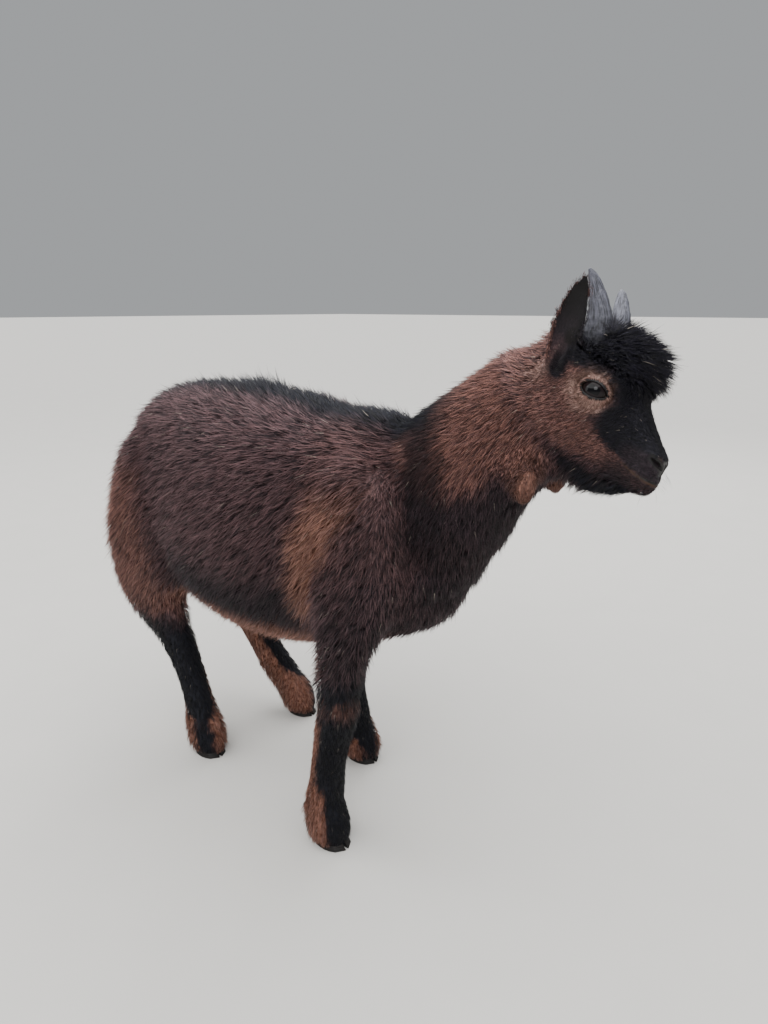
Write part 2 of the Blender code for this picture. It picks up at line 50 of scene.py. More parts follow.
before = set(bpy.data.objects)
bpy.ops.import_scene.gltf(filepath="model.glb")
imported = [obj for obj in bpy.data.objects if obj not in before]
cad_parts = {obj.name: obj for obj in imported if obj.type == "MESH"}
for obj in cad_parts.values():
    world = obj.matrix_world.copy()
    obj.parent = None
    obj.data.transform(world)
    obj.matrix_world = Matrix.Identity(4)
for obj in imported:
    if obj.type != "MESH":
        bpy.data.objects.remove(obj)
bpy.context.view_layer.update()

MM = 0.001
WELD = 0.01 * MM
SIDES = (("right", -1), ("left", 1))
LEGS = ("fore_right", "fore_left", "hind_right", "hind_left")

# The head's own frame: F along the nose, L to the goat's left, U up from between the eyes
HEAD_NOD = math.radians(28.0)
HEAD_TILT = math.radians(-13.0)
EYE_FORWARD = 1.6 * MM
EYE_RAISE = 5.2 * MM


def box_middle(node):
    low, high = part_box(node)
    return (low + high) / 2


def head_frame():
    """(origin, 3 x 3 axes) of the head's frame, hung from the middle of the two eyes."""
    turn = Matrix.Rotation(HEAD_NOD, 3, "Y") @ Matrix.Rotation(HEAD_TILT, 3, "X")
    between = (box_middle("eye_right") + box_middle("eye_left")) / 2
    origin = between - turn @ Vector((EYE_FORWARD, 0, EYE_RAISE))
    return np.array(origin), np.array(turn)


HEAD_AT, HEAD_AXES = head_frame()


def to_head(points):
    """Goat-frame points as (F, L, U) in millimetres."""
    return (np.asarray(points) - HEAD_AT) @ HEAD_AXES / MM


def from_head(points):
    return np.asarray(points) * MM @ HEAD_AXES.T + HEAD_AT


def head_direction(vector):
    return np.asarray(vector, float) @ HEAD_AXES.T


# ---------------------------------------------------------------- small helpers


def linear(colour):
    """An sRGB hex colour as linear red, green and blue."""
    parts = [int(colour[k : k + 2], 16) / 255 for k in (1, 3, 5)]
    return [c / 12.92 if c <= 0.04045 else ((c + 0.055) / 1.055) ** 2.4 for c in parts]


def ramp(value, start, end):
    """0 before start, 1 after end, smooth between them. start may be the larger."""
    t = np.clip((value - start) / (end - start), 0.0, 1.0)
    return t * t * (3 - 2 * t)


def ridge(value, middle, width):
    """1 where the value is at the middle, fading towards 0 on both sides of it."""
    return np.exp(-(((value - middle) / width) ** 2))


def island(a, b, middle, width):
    """1 at one place in two coordinates, fading towards 0 all round it."""
    return np.exp(-(((a - middle[0]) / width[0]) ** 2) - (((b - middle[1]) / width[1]) ** 2))


def unit(vectors):
    length = np.linalg.norm(vectors, axis=-1, keepdims=True)
    return vectors / np.maximum(length, 1e-12)


def lerp(a, b, share):
    share = np.asarray(share)
    if np.ndim(a) > np.ndim(share):
        share = share[..., None]
    return a + (b - a) * share


def ripple(points, size, seed):
    """Soft noise of about -1 to 1 over points in metres, from crossed waves `size` metres long."""
    rng = np.random.default_rng(seed)
    total = np.zeros(len(points))
    for _ in range(7):
        wave = unit(rng.normal(size=3)) * 2 * math.pi / (size * rng.uniform(0.6, 1.7))
        total += np.sin(points @ wave + rng.uniform(0, 2 * math.pi))
    return total / 3.0


def catmull(rows, per):
    """Rows of numbers, filled in along a Catmull-Rom curve with `per` steps a span."""
    rows = np.array(rows, float)
    ends = np.vstack([2 * rows[0] - rows[1], rows, 2 * rows[-1] - rows[-2]])
    out = []
    for a, b, c, d in zip(ends, ends[1:], ends[2:], ends[3:]):
        for t in np.arange(per) / per:
            bend = (2 * a - 5 * b + 4 * c - d) * t**2 + (3 * b - a - 3 * c + d) * t**3
            out.append(0.5 * (2 * b + (c - a) * t + bend))
    out.append(rows[-1])
    return np.array(out)


def read(collection, name, width=1, kind=np.float32):
    """One value, or a row of them, for each point, edge or other item of a mesh."""
    values = np.empty(len(collection) * width, kind)
    collection.foreach_get(name, values)
    if kind is np.float32:
        values = values.astype(float)
    return values.reshape(-1, width) if width > 1 else values


# The kind of mesh attribute that holds 1, 3 or 4 numbers a point, and the name of its field
ATTRIBUTES = {1: ("FLOAT", "value"), 3: ("FLOAT_VECTOR", "vector"), 4: ("FLOAT_COLOR", "color")}


def store(mesh, name, values):
    """Keeps one number, a vector or a colour for each point of a mesh."""
    values = np.asarray(values, np.float32)
    kind, field = ATTRIBUTES[1 if values.ndim == 1 else values.shape[1]]
    layer = mesh.attributes.get(name) or mesh.attributes.new(name, kind, "POINT")
    layer.data.foreach_set(field, values.ravel())


def stored(mesh, name):
    layer = mesh.attributes[name]
    widths = {kind: (width, field) for width, (kind, field) in ATTRIBUTES.items()}
    width, field = widths[layer.data_type]
    return read(layer.data, field, width)


def mesh_of(bm, name):
    """A mesh from a bmesh, which is freed."""
    mesh = bpy.data.meshes.new(name)
    bm.to_mesh(mesh)
    bm.free()
    return mesh


def surface_of(mesh):
    """A tree that finds the nearest place on a mesh."""
    faces = [polygon.vertices[:] for polygon in mesh.polygons]
    return BVHTree.FromPolygons(read(mesh.vertices, "co", 3).tolist(), faces)


def shown(name, mesh):
    obj = bpy.data.objects.new(name, mesh)
    bpy.context.scene.collection.objects.link(obj)
    return obj


def finished(obj, mat, replaced=()):
    """Shades a finished piece smooth, gives it its material and hangs it on the goat's one body."""
    obj.data.polygons.foreach_set("use_smooth", np.ones(len(obj.data.polygons), bool))
    obj.data.update()
    obj.data.materials.clear()
    obj.data.materials.append(mat)
    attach(obj, "root")
    if replaced:
        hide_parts(*replaced)


def bake_modifiers(obj):
    graph = bpy.context.evaluated_depsgraph_get()
    mesh = bpy.data.meshes.new_from_object(obj.evaluated_get(graph))
    obj.modifiers.clear()
    old = obj.data
    obj.data = mesh
    bpy.data.meshes.remove(old)


class Web:
    """The points of a mesh and the edges between them, for smoothing values over its surface."""

    def __init__(self, mesh):
        self.mesh = mesh
        self.points = read(mesh.vertices, "co", 3)
        self.ends = read(mesh.edges, "vertices", 2, np.int32)
        self.count = np.maximum(np.bincount(self.ends.ravel(), minlength=len(self.points)), 1)

    def spread(self, values, passes, pull=0.5):
        """Each pass moves a point's value towards its neighbours' mean by `pull`."""
        values = np.array(values, float)
        flat = values.reshape(len(values), -1)
        a, b = self.ends.T
        size = len(flat)
        for _ in range(passes):
            mean = np.empty_like(flat)
            for k in range(flat.shape[1]):
                mean[:, k] = np.bincount(a, flat[b, k], size) + np.bincount(b, flat[a, k], size)
            mean /= self.count[:, None]
            share = pull if np.isscalar(pull) else pull[:, None]
            flat = flat + (mean - flat) * share
        return flat.reshape(values.shape)

    def place(self, points):
        self.points = points
        self.mesh.vertices.foreach_set("co", points.astype(np.float32).ravel())
        self.mesh.update()

    def normals(self):
        self.mesh.update()
        return read(self.mesh.vertices, "normal", 3)


# ---------------------------------------------------------------- where the goat's parts are

NODE_REGIONS = {
    "trunk": ["trunk"] + [f"fore_{s}_shoulder" for s, _ in SIDES] + [f"hind_{s}_thigh" for s, _ in SIDES],
    "neck": ["neck"],
    "head": ["head"],
    "ear": ["ear_right", "ear_left"],
    "tail": ["tail"],
    "wattle": ["wattle_right", "wattle_left"],
    "leg": [f"fore_{s}_forearm" for s, _ in SIDES]
    + [f"hind_{s}_gaskin" for s, _ in SIDES]
    + [f"{leg}_cannon" for leg in LEGS],
    "foot": [f"{leg}_foot" for leg in LEGS],
}
FLESH = [node for nodes in NODE_REGIONS.values() for node in nodes]
REGIONS = list(NODE_REGIONS)
HOOF_NODES = {
    leg: [f"{leg}_{part}_{place}" for part in ("claw", "dewclaw") for place in ("inner", "outer")]
    for leg in LEGS
}
HIND_MIDDLE = 1000 * (box_middle("hind_right_foot").y + box_middle("hind_left_foot").y) / 2
WATTLES_AT = [np.array(box_middle(f"wattle_{word}")) / MM for word, _ in SIDES]

# The body is fuller than the solids here: middle and spread along X and Z, in millimetres
THROAT_AT, THROAT_SPREAD, THROAT_FILL = (162, 256), (24, 28), 9.0
CREASE_AT, CREASE_SPREAD, CREASE_FILL = (146, 238), (18, 13), 10.0

# The tan behind the legs begins (second row) at each height (first row), as a share of facing ahead
FORE_LEG_EDGE = ((12, 50, 62, 120, 134, 172), (0.34, 0.32, -0.35, -0.45, -2.0, -2.0))
HIND_LEG_EDGE = ((0, 38, 50, 108, 122, 160), (0.8, 0.8, 0.2, -0.35, -0.4, -0.4))
KNEE_HEIGHT = 132
HOOF_CRISP = math.radians(25)
HOOF_WEAR = 0.7 * MM

# From here on, places on the head's left side, in its own frame and in millimetres
HORN_ROOT = (-23.5, 14.5, 25.5)
HORN_ROOT_RADIUS = 11.0
HORN_STEPS = 9
HORN_AROUND = 40
HORN_LINE = [
    # forward, out, up, half side, half fore-and-aft
    (-22, 13, 20, 7.4, 10.8),
    (-24.5, 15, 30, 7.0, 10.0),
    (-29, 18, 41, 5.9, 8.2),
    (-36, 22.5, 51, 4.3, 5.6),
    (-43, 27.5, 58.5, 2.6, 3.3),
    (-47, 30.5, 61.5, 0.7, 0.9),
]

EYEBALL = 10.6
EYE_AXIS = unit(np.array((0.14, 0.98, 0.09)))
EYE_AT = (-1.8, 19.2, 1.9)
# how far the cornea stands out, as a share of the radius, and its edge in degrees from its middle
CORNEA_RISE = 0.075
CORNEA_EDGE = 40.0
LID_THICK = 0.95
LID_HALF_LONG = 8.9
LID_HALF_UP = 4.8
LID_HALF_DOWN = 4.4
LID_SLANT = math.radians(8.0)
# the fold from the front corner of the eye
TEAR_LINE = [(11.5, 28, 3.0), (17, 25, -1.0), (22, 21.5, -6.0)]

EAR_ROOT = (-30.0, 31.0, -4.0)
EAR_TIP = (-40.0, 43.0, 57.0)
EAR_OPENING = unit(np.array((0.62, 0.78, 0.1)))
# the pale tuft below the ear
EAR_TUFT = (-39, 35, -6)
# how far the left ear's tip hangs over
EAR_FOLD = 7.0
# the middle of the hollow, its front edge and the back of the root, from the bottom up
EAR_CUP = [(-25.5, 35, 2), (-28, 34.5, 12), (-31, 33, 24)]
EAR_BRINK = [(-19, 31, 18), (-22, 33, 30), (-27, 36, 42)]
EAR_FOOT = [(-35, 36, 2), (-37, 38, 28)]

# how far forward the black of the face begins (second row) at each height (first row)
FACE_EDGE = (
    (-26, -24, -21, -17, -10, -2, 4, 7, 9, 11, 14),
    (60, 38, 24, 15, 9, 10, 13, 10, 0, -14, -34),
)
NOSTRIL = [(58.8, 4.2, -15.8), (56.6, 8.0, -14.6), (53.2, 10.9, -13.6), (49.8, 12.6, -12.4)]
NOSE_WING = (56.0, 7.5, -11.5)
# from the middle of the lips to their corner
MOUTH = [
    (60.0, 0.0, -25.6),
    (58.0, 5.5, -25.8),
    (54.0, 9.0, -26.0),
    (48.0, 11.8, -26.2),
    (43.0, 13.2, -26.0),
    (37.0, 14.4, -24.8),
    (32.5, 15.4, -22.6),
]
MOUTH_FORWARD = [place[0] for place in MOUTH[::-1]]
MOUTH_UP = [place[2] for place in MOUTH[::-1]]


def by_region(share):
    """The columns of a table of shares, by the names of the regions."""
    return dict(zip(REGIONS, share.T))


def folded(head_points):
    """Both sides of the head laid on its left side."""
    return head_points * (1, 0, 1) + np.abs(head_points) * (0, 1, 0)


def eye_axes(side):
    """(centre, forward, up, out) of an eye in the head's frame, in millimetres."""
    out = EYE_AXIS * (1, side, 1)
    forward = np.array((math.cos(LID_SLANT), 0, math.sin(LID_SLANT)))
    forward = unit(forward - forward @ out * out)
    up = np.cross(out, forward) * -side
    centre = np.array(EYE_AT) * (1, side, 1)
    return centre, forward, up, out


def eye_chart(head_points):
    """For each point, in its side's eye frame: forward, up, out and millimetres outside the lids."""
    chart = np.zeros((len(head_points), 4))
    for _, side in SIDES:
        near = head_points[:, 1] * side > 0
        centre, forward, up, out = eye_axes(side)
        offset = head_points[near] - centre
        x, y, z = offset @ forward, offset @ up, offset @ out
        half = np.where(y > 0, LID_HALF_UP, LID_HALF_DOWN)
        radius = np.hypot(x, y) + 1e-6
        # 1 at the almond-shaped edge of the lids and less inside it
        fill = (np.abs(x) / LID_HALF_LONG) ** 2.0 + (np.abs(y) / half) ** 1.6
        beyond = radius * (1 - np.maximum(fill, 1e-6) ** (-1 / 1.8))
        far = np.linalg.norm(offset, axis=1)
        chart[near] = np.column_stack([x, y, z, np.where(z > 0, beyond, far)])
    return chart


def along_line(points, line):
    """(distance, share of the way) from each point to the nearest place on a polyline."""
    line = np.asarray(line, float)
    steps = np.linalg.norm(np.diff(line, axis=0), axis=1)
    starts = np.concatenate([[0], np.cumsum(steps)])
    best = np.full(len(points), 1e9)
    share = np.zeros(len(points))
    for k, (a, b) in enumerate(zip(line, line[1:])):
        t = np.clip((points - a) @ (b - a) / max((b - a) @ (b - a), 1e-12), 0, 1)
        gap = np.linalg.norm(points - (a + t[:, None] * (b - a)), axis=1)
        nearer = gap < best
        best = np.where(nearer, gap, best)
        share = np.where(nearer, (starts[k] + t * steps[k]) / starts[-1], share)
    return best, share


def to_wattle(points):
    """Millimetres from each point to the middle of the nearer wattle."""
    return np.min([np.linalg.norm(points / MM - place, axis=1) for place in WATTLES_AT], axis=0)


def ear_facing(head, normals):
    """How far each place looks the way the ears open: 1 in their hollow, -1 on their back."""
    facing = normals @ HEAD_AXES
    facing[:, 1] *= np.sign(head[:, 1])
    return facing @ EAR_OPENING


# ---------------------------------------------------------------- skin


def add_copy(bm, node, grow):
    """Adds a closed copy of a CAD node to bm, moved out by grow so that neighbours overlap."""
    part = bmesh.new()
    part.from_mesh(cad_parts[node].data)
    bmesh.ops.remove_doubles(part, verts=part.verts, dist=WELD)
    part.normal_update()
    for vertex in part.verts:
        vertex.co += vertex.normal * grow
    mesh = mesh_of(part, node + " copy")
    bm.from_mesh(mesh)
    bpy.data.meshes.remove(mesh)


def keep_largest(obj):
    """Drops every loose shell but the one with the most points."""
    bm = bmesh.new()
    bm.from_mesh(obj.data)
    left = set(bm.verts)
    shells = []
    while left:
        stack = [left.pop()]
        shell = list(stack)
        while stack:
            for edge in stack.pop().link_edges:
                for vertex in edge.verts:
                    if vertex in left:
                        left.remove(vertex)
                        shell.append(vertex)
                        stack.append(vertex)
        shells.append(shell)
    shells.sort(key=len)
    for shell in shells[:-1]:
        bmesh.ops.delete(bm, geom=shell, context="VERTS")
    bm.to_mesh(obj.data)
    bm.free()


def fused_flesh(voxel, grow):
    """One closed surface over all the flesh, with the sockets of horns, eyes and hooves filled."""
    bm = bmesh.new()
    for node in FLESH:
        add_copy(bm, node, grow)
    for leg in LEGS:
        for node in HOOF_NODES[leg]:
            add_copy(bm, node, 0)
    for word, side in SIDES:
        add_copy(bm, f"eye_{word}", grow)
        middle = Vector(from_head(np.array(HORN_ROOT) * (1, side, 1)))
        place = Matrix.Translation(middle)
        bmesh.ops.create_icosphere(bm, subdivisions=3, radius=HORN_ROOT_RADIUS * MM, matrix=place)
    obj = shown("skin", mesh_of(bm, "skin"))
    remesh = obj.modifiers.new("fuse", "REMESH")
    remesh.mode = "VOXEL"
    remesh.voxel_size = voxel
    bake_modifiers(obj)
    keep_largest(obj)
    return obj


def region_shares(web, passes=14):
    """For each point, how much it belongs to each region, 0 to 1, softened across their borders."""
    points, faces, owners = [], [], []
    for number, region in enumerate(REGIONS):
        for node in NODE_REGIONS[region]:
            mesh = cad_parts[node].data
            shift = len(points)
            points += [v.co[:] for v in mesh.vertices]
            faces += [[i + shift for i in p.vertices] for p in mesh.polygons]
            owners += [number] * len(mesh.polygons)
    tree = BVHTree.FromPolygons(points, faces)
    owner = np.array([owners[tree.find_nearest(p)[2]] for p in web.points])
    # the flesh round the horn is crown, though the ear stands near it
    knob = np.linalg.norm(folded(to_head(web.points)) - HORN_ROOT, axis=1)
    owner[knob < HORN_ROOT_RADIUS + 1.5] = REGIONS.index("head")
    shares = (owner[:, None] == np.arange(len(REGIONS))).astype(float)
    return web.spread(shares, passes)


def coat_depth(points, share):
    """Millimetres from the skin to the outline of the coat."""
    head = folded(to_head(points))
    forward, _, up = head.T
    level = points[:, 2] / MM
    trunk = 11.5 - 3.5 * ramp(level, 185, 150)
    trunk = lerp(trunk, 7.0, ramp(points[:, 0] / MM, 85, 125))
    face = 2.0 + 1.6 * ramp(forward, 24, 2) * ramp(up, 4, -14)
    face = lerp(face, 13.0, ramp(up, 17, 31) * ramp(forward, -48, -34))
    face = lerp(face, 7.5, ramp(up, -34, -44) * ramp(forward, -30, -10))
    face = lerp(face, 10.0, ramp(forward, -26, -50))
    foot, _ = along_line(head, EAR_FOOT)
    face = lerp(face, 1.5, ramp(foot, 15, 9))
    face = lerp(face, 1.1, ramp(forward, 36, 48) * ramp(up, -31, -27))
    face = lerp(face, 1.2, ramp(np.maximum(eye_chart(to_head(points))[:, 3], 0), 6, 1))
    depths = {
        "trunk": trunk,
        "neck": 7.0,
        "head": face,
        "ear": 0.55,
        "tail": 8.0,
        "wattle": 2.0,
        "leg": 2.4 + 3.6 * ramp(level, 100, 140),
        "foot": 1.4 + 1.0 * ramp(level, 7, 24),
    }
    return sum(part * depths[region] for region, part in by_region(share).items())


def settle_under_coat(web, share, grow, steps=8):
    """Smooths the fused flesh and sinks it to where the skin lies under the coat. Returns the depths."""
    outline = surface_of(web.mesh)
    part = by_region(share)
    wattle = ramp(part["wattle"], 0.25, 0.7)
    firm = part["ear"] + 0.6 * wattle
    head = part["head"] + part["foot"]
    pull = 0.5 * np.clip(1 - firm * 1.3, 0.0, 1) * (1 - 0.35 * np.clip(head, 0, 1))
    depth = coat_depth(web.points, share)
    place = to_head(web.points)
    collar = ramp(place[:, 0], 14, -8) * ramp(place[:, 2], 14, 4)
    collar *= 1 - np.clip(part["ear"] * 2, 0, 1)
    plain = np.clip(part["trunk"] + part["neck"] + part["leg"], 0, 1) * (1 - wattle)
    depth = web.spread(depth, 80, 0.5 * collar + 0.02)
    depth = lerp(web.spread(depth, 10), 0.8, wattle)
    web.place(web.spread(web.points, 16, pull))
    ahead, _, level = (web.points / MM).T
    throat = THROAT_FILL * island(ahead, level, THROAT_AT, THROAT_SPREAD)
    crease = CREASE_FILL * island(ahead, level, CREASE_AT, CREASE_SPREAD)
    limb = 1.5 * part["leg"] + 1.0 * part["foot"]
    sink = (depth - throat - crease - limb) * MM + grow
    for _ in range(steps):
        web.place(web.points - web.normals() * (sink / steps)[:, None])
        web.place(web.spread(web.points, 2, pull))
    # smoothing shrinks what is thin, so body and legs are let out again to their depth
    for _ in range(3):
        near = [outline.find_nearest(point)[:2] for point in web.points]
        spot, normal = (np.array(column) for column in zip(*near))
        below = ((spot - web.points) * normal).sum(1)
        short = web.spread(np.clip(below - sink, -1 * MM, 2 * MM), 12)
        short *= plain
        web.place(web.points + web.normals() * (0.8 * short)[:, None])
        web.place(web.spread(web.points, 1, pull))
    return depth


def thin_body(obj, share, triangles):
    """Leaves the head and feet fine and the body, which the coat hides, coarser."""
    part = by_region(share)
    fine = np.clip(part["head"] + part["ear"] + part["foot"] + part["wattle"], 0, 1)
    group = obj.vertex_groups.new(name="coarse")
    for level in range(11):
        chosen = np.nonzero(np.round((1 - fine) * 10) == level)[0]
        group.add(chosen.tolist(), level / 10, "REPLACE")
    thin = obj.modifiers.new("thin", "DECIMATE")
    thin.vertex_group = group.name
    thin.vertex_group_factor = 1.0
    thin.ratio = triangles / sum(len(p.vertices) - 2 for p in obj.data.polygons)
    bake_modifiers(obj)
    obj.vertex_groups.clear()


def refine(mesh, chosen):
    """Splits every edge whose two ends are chosen. `chosen` holds true or false for each point."""
    bm = bmesh.new()
    bm.from_mesh(mesh)
    bm.verts.ensure_lookup_table()
    edges = [e for e in bm.edges if chosen[e.verts[0].index] and chosen[e.verts[1].index]]
    bmesh.ops.subdivide_edges(bm, edges=edges, cuts=1, use_grid_fill=True)
    bm.to_mesh(mesh)
    bm.free()


def refine_face(mesh):
    """Splits the faces of the whole face, then once more those round eyes, nostrils and lips."""
    forward, _, up = folded(to_head(read(mesh.vertices, "co", 3))).T
    refine(mesh, (forward > -12) & (up < 22) & (up > -52) & (forward < 75))
    head = to_head(read(mesh.vertices, "co", 3))
    near = eye_chart(head)[:, 3] < 9.0
    near |= along_line(folded(head), NOSTRIL)[0] < 6
    near |= along_line(folded(head), MOUTH)[0] < 4
    refine(mesh, near)


def shape_eyelids(head):
    """Lays the skin round each eye over the eyeball, opens it and sinks what lies inside."""
    chart = eye_chart(head)
    x, y, out, beyond = chart.T
    radius2 = x**2 + y**2
    cover = np.sqrt(np.maximum((EYEBALL + LID_THICK) ** 2 - radius2, 4.0))
    ball = np.sqrt(np.maximum(EYEBALL**2 - radius2, 1.0))
    near = (out > 0) & (beyond < 11)
    outside = lerp(cover, out, ramp(beyond, 1.5, 9.5))
    fold = ridge(beyond, 3.4, 0.9) * ramp(y, -2, 2) * 0.75
    bag = ridge(beyond, 3.0, 0.9) * ramp(y, 1, -3) * 0.45
    roll = ridge(beyond, 0.9, 0.9) * 0.3
    outside = outside - fold - bag + roll
    inside = lerp(cover, ball - 2.2, ramp(beyond, 0.0, -0.9))
    height = np.where(beyond > 0, outside, inside)
    moved = head.copy()
    for _, side in SIDES:
        picked = near & (head[:, 1] * side > 0)
        _, _, _, axis = eye_axes(side)
        moved[picked] += (height - out)[picked, None] * axis
    return moved


def shape_face(head, normals):
    """Cuts nostrils, mouth and ear cups and raises the lips, nose wings and brows."""
    side = folded(head)
    forward, out, up = side.T
    gap, along = along_line(side, NOSTRIL)
    rim = ridge(gap, 2.8, 0.9) * 0.6 * ramp(up, -17, -13)
    hole = ramp(gap, 2.3 - 1.1 * along, 0.5) * (4.2 - 2.0 * along)
    push = rim - hole
    gap, along = along_line(side, MOUTH)
    slit = ridge(gap, 0, 0.95) * (3.0 - 1.6 * along)
    lips = ridge(gap, 2.4, 1.5) * (0.9 - 0.5 * along)
    push += lips - slit
    groove = ridge(head[:, 1], 0, 0.8) * ramp(up, -24, -21) * ramp(up, -12, -15)
    push -= groove * ramp(forward, 48, 53) * 0.9
    push += island(forward, up, (3, 15), (10, 4)) * ramp(out, 14, 20) * 1.2
    tear, _ = along_line(side, TEAR_LINE)
    push -= ridge(tear, 0, 1.6) * 0.7
    cup, _ = along_line(side, EAR_CUP)
    open_side = ramp(normals[:, 1] * np.sign(head[:, 1]), -0.1, 0.4)
    push -= ramp(cup, 6.5, 1.5) * 3.5 * ramp(up, 24, 10) * open_side
    moved = head + push[:, None] * normals
    moved[:, 0] += 3.5 * ridge(up, -31, 7.5) * ramp(forward, 44, 55) * ramp(out, 18, 8)
    moved[:, 2] -= EAR_FOLD * ramp(up, 48, 57) * ramp(head[:, 1], 25, 30)
    return moved


# ---------------------------------------------------------------- markings and lie of the coat

# Every ramp, ridge and island here is placed in millimetres: on the body x, y and z from the goat's
# origin, on the head forward, out and up in the head's frame. `ragged`, `rag` and `fine` fray edges.

# millimetres of coat at which the width of tufts, the size of clumps and the density are given
COAT_DEPTHS = [0.5, 2.5, 6.0, 14.0]


def torso_marks(points, normals, share, wander, fine):
    """Black, tan and red shares of the trunk and neck, with the pale bleach of the lock; the black also holds
    a painted shadow in the elbow pit.
    """
    part = by_region(share)
    x, y, z = (points / MM).T
    ragged = wander * 3.0 + fine * 1.5
    flank = np.abs(normals[:, 1])
    torso = part["trunk"] + part["neck"]

    stripe = ramp(np.abs(y) + ragged, 34, 13) * ramp(z, 322, 338) * ramp(x, -215, -190) * ramp(x, 150, 120)
    lean = np.interp(z, [310, 330, 375], [0, 3, 30])
    band = ramp(np.abs(x - 133 + ragged + lean), 22, 10) * ramp(z, 235, 275)
    chest = ramp(z - 303 - 0.5 * (x - 150) + ragged * 1.5, 12, -14) * ramp(x, 112, 138)
    point = island(x, z, (108, 270), (22, 40))
    low_flank = ramp(z + ragged, 236, 204) * ramp(x, 50, 20) * ramp(x, -150, -110) * ramp(z, 178, 188)
    arm = ramp(z + ragged, 255, 200) * ramp(x, 55, 80)
    dark = [stripe, band * 0.8, chest * 0.72, low_flank * 0.8, arm * 0.5, point * 0.3]
    black = np.maximum.reduce(dark) * torso

    belly = ramp(z + ragged * 0.6, 190, 176) * ramp(x, 75, 50) * ramp(x, -130, -100)
    belly = np.maximum(belly, ramp(normals[:, 2] + fine * 0.05, -0.55, -0.8) * ramp(x, 110, 60))
    reach = np.maximum(z - 232, 0)
    lock = np.abs(x - 47 - 0.42 * reach + ragged * 1.3)
    lock = ramp(lock - 0.26 * reach, 15, 3) * ramp(z + ragged, 206, 216) * ramp(z + ragged, 315, 262)
    lock *= ramp(flank, 0.3, 0.6)
    tan = torso * np.maximum(belly, np.minimum(lock * 1.3, 1))
    # painted shadow: black on the flank in the fold behind the elbow, where shade falls
    elbow_pit_shadow = island(x, z, (19, 216), (17, 14)) * ramp(flank, 0.3, 0.6)
    black = np.maximum(black * (1 - torso * np.maximum(belly, lock) * 0.9), torso * elbow_pit_shadow * 0.9)

    rump = part["trunk"] * ramp(x + 0.25 * (z - 200) + ragged, -140, -170) * ramp(z + wander * 6, 300, 262)
    neck = part["neck"] * ramp(z - 297 - 0.5 * (x - 150) + ragged, 0, 20)
    shoulder = part["trunk"] * 0.2 * ramp(x, 20, 60) * ramp(z, 235, 260)
    red = np.maximum(np.maximum(rump, neck), shoulder)
    return black, tan, red, torso * lock * 0.1


def eye_ring(eye, forward, rag):
    """The pale ring, fainter where the black of the face comes near the eye."""
    ring = ramp(eye + rag, 11.0, 3.0) * ramp(eye, -1, 0.5) * 0.9
    return ring * (1 - 0.8 * ramp(forward + rag, 7.5, 11.5))


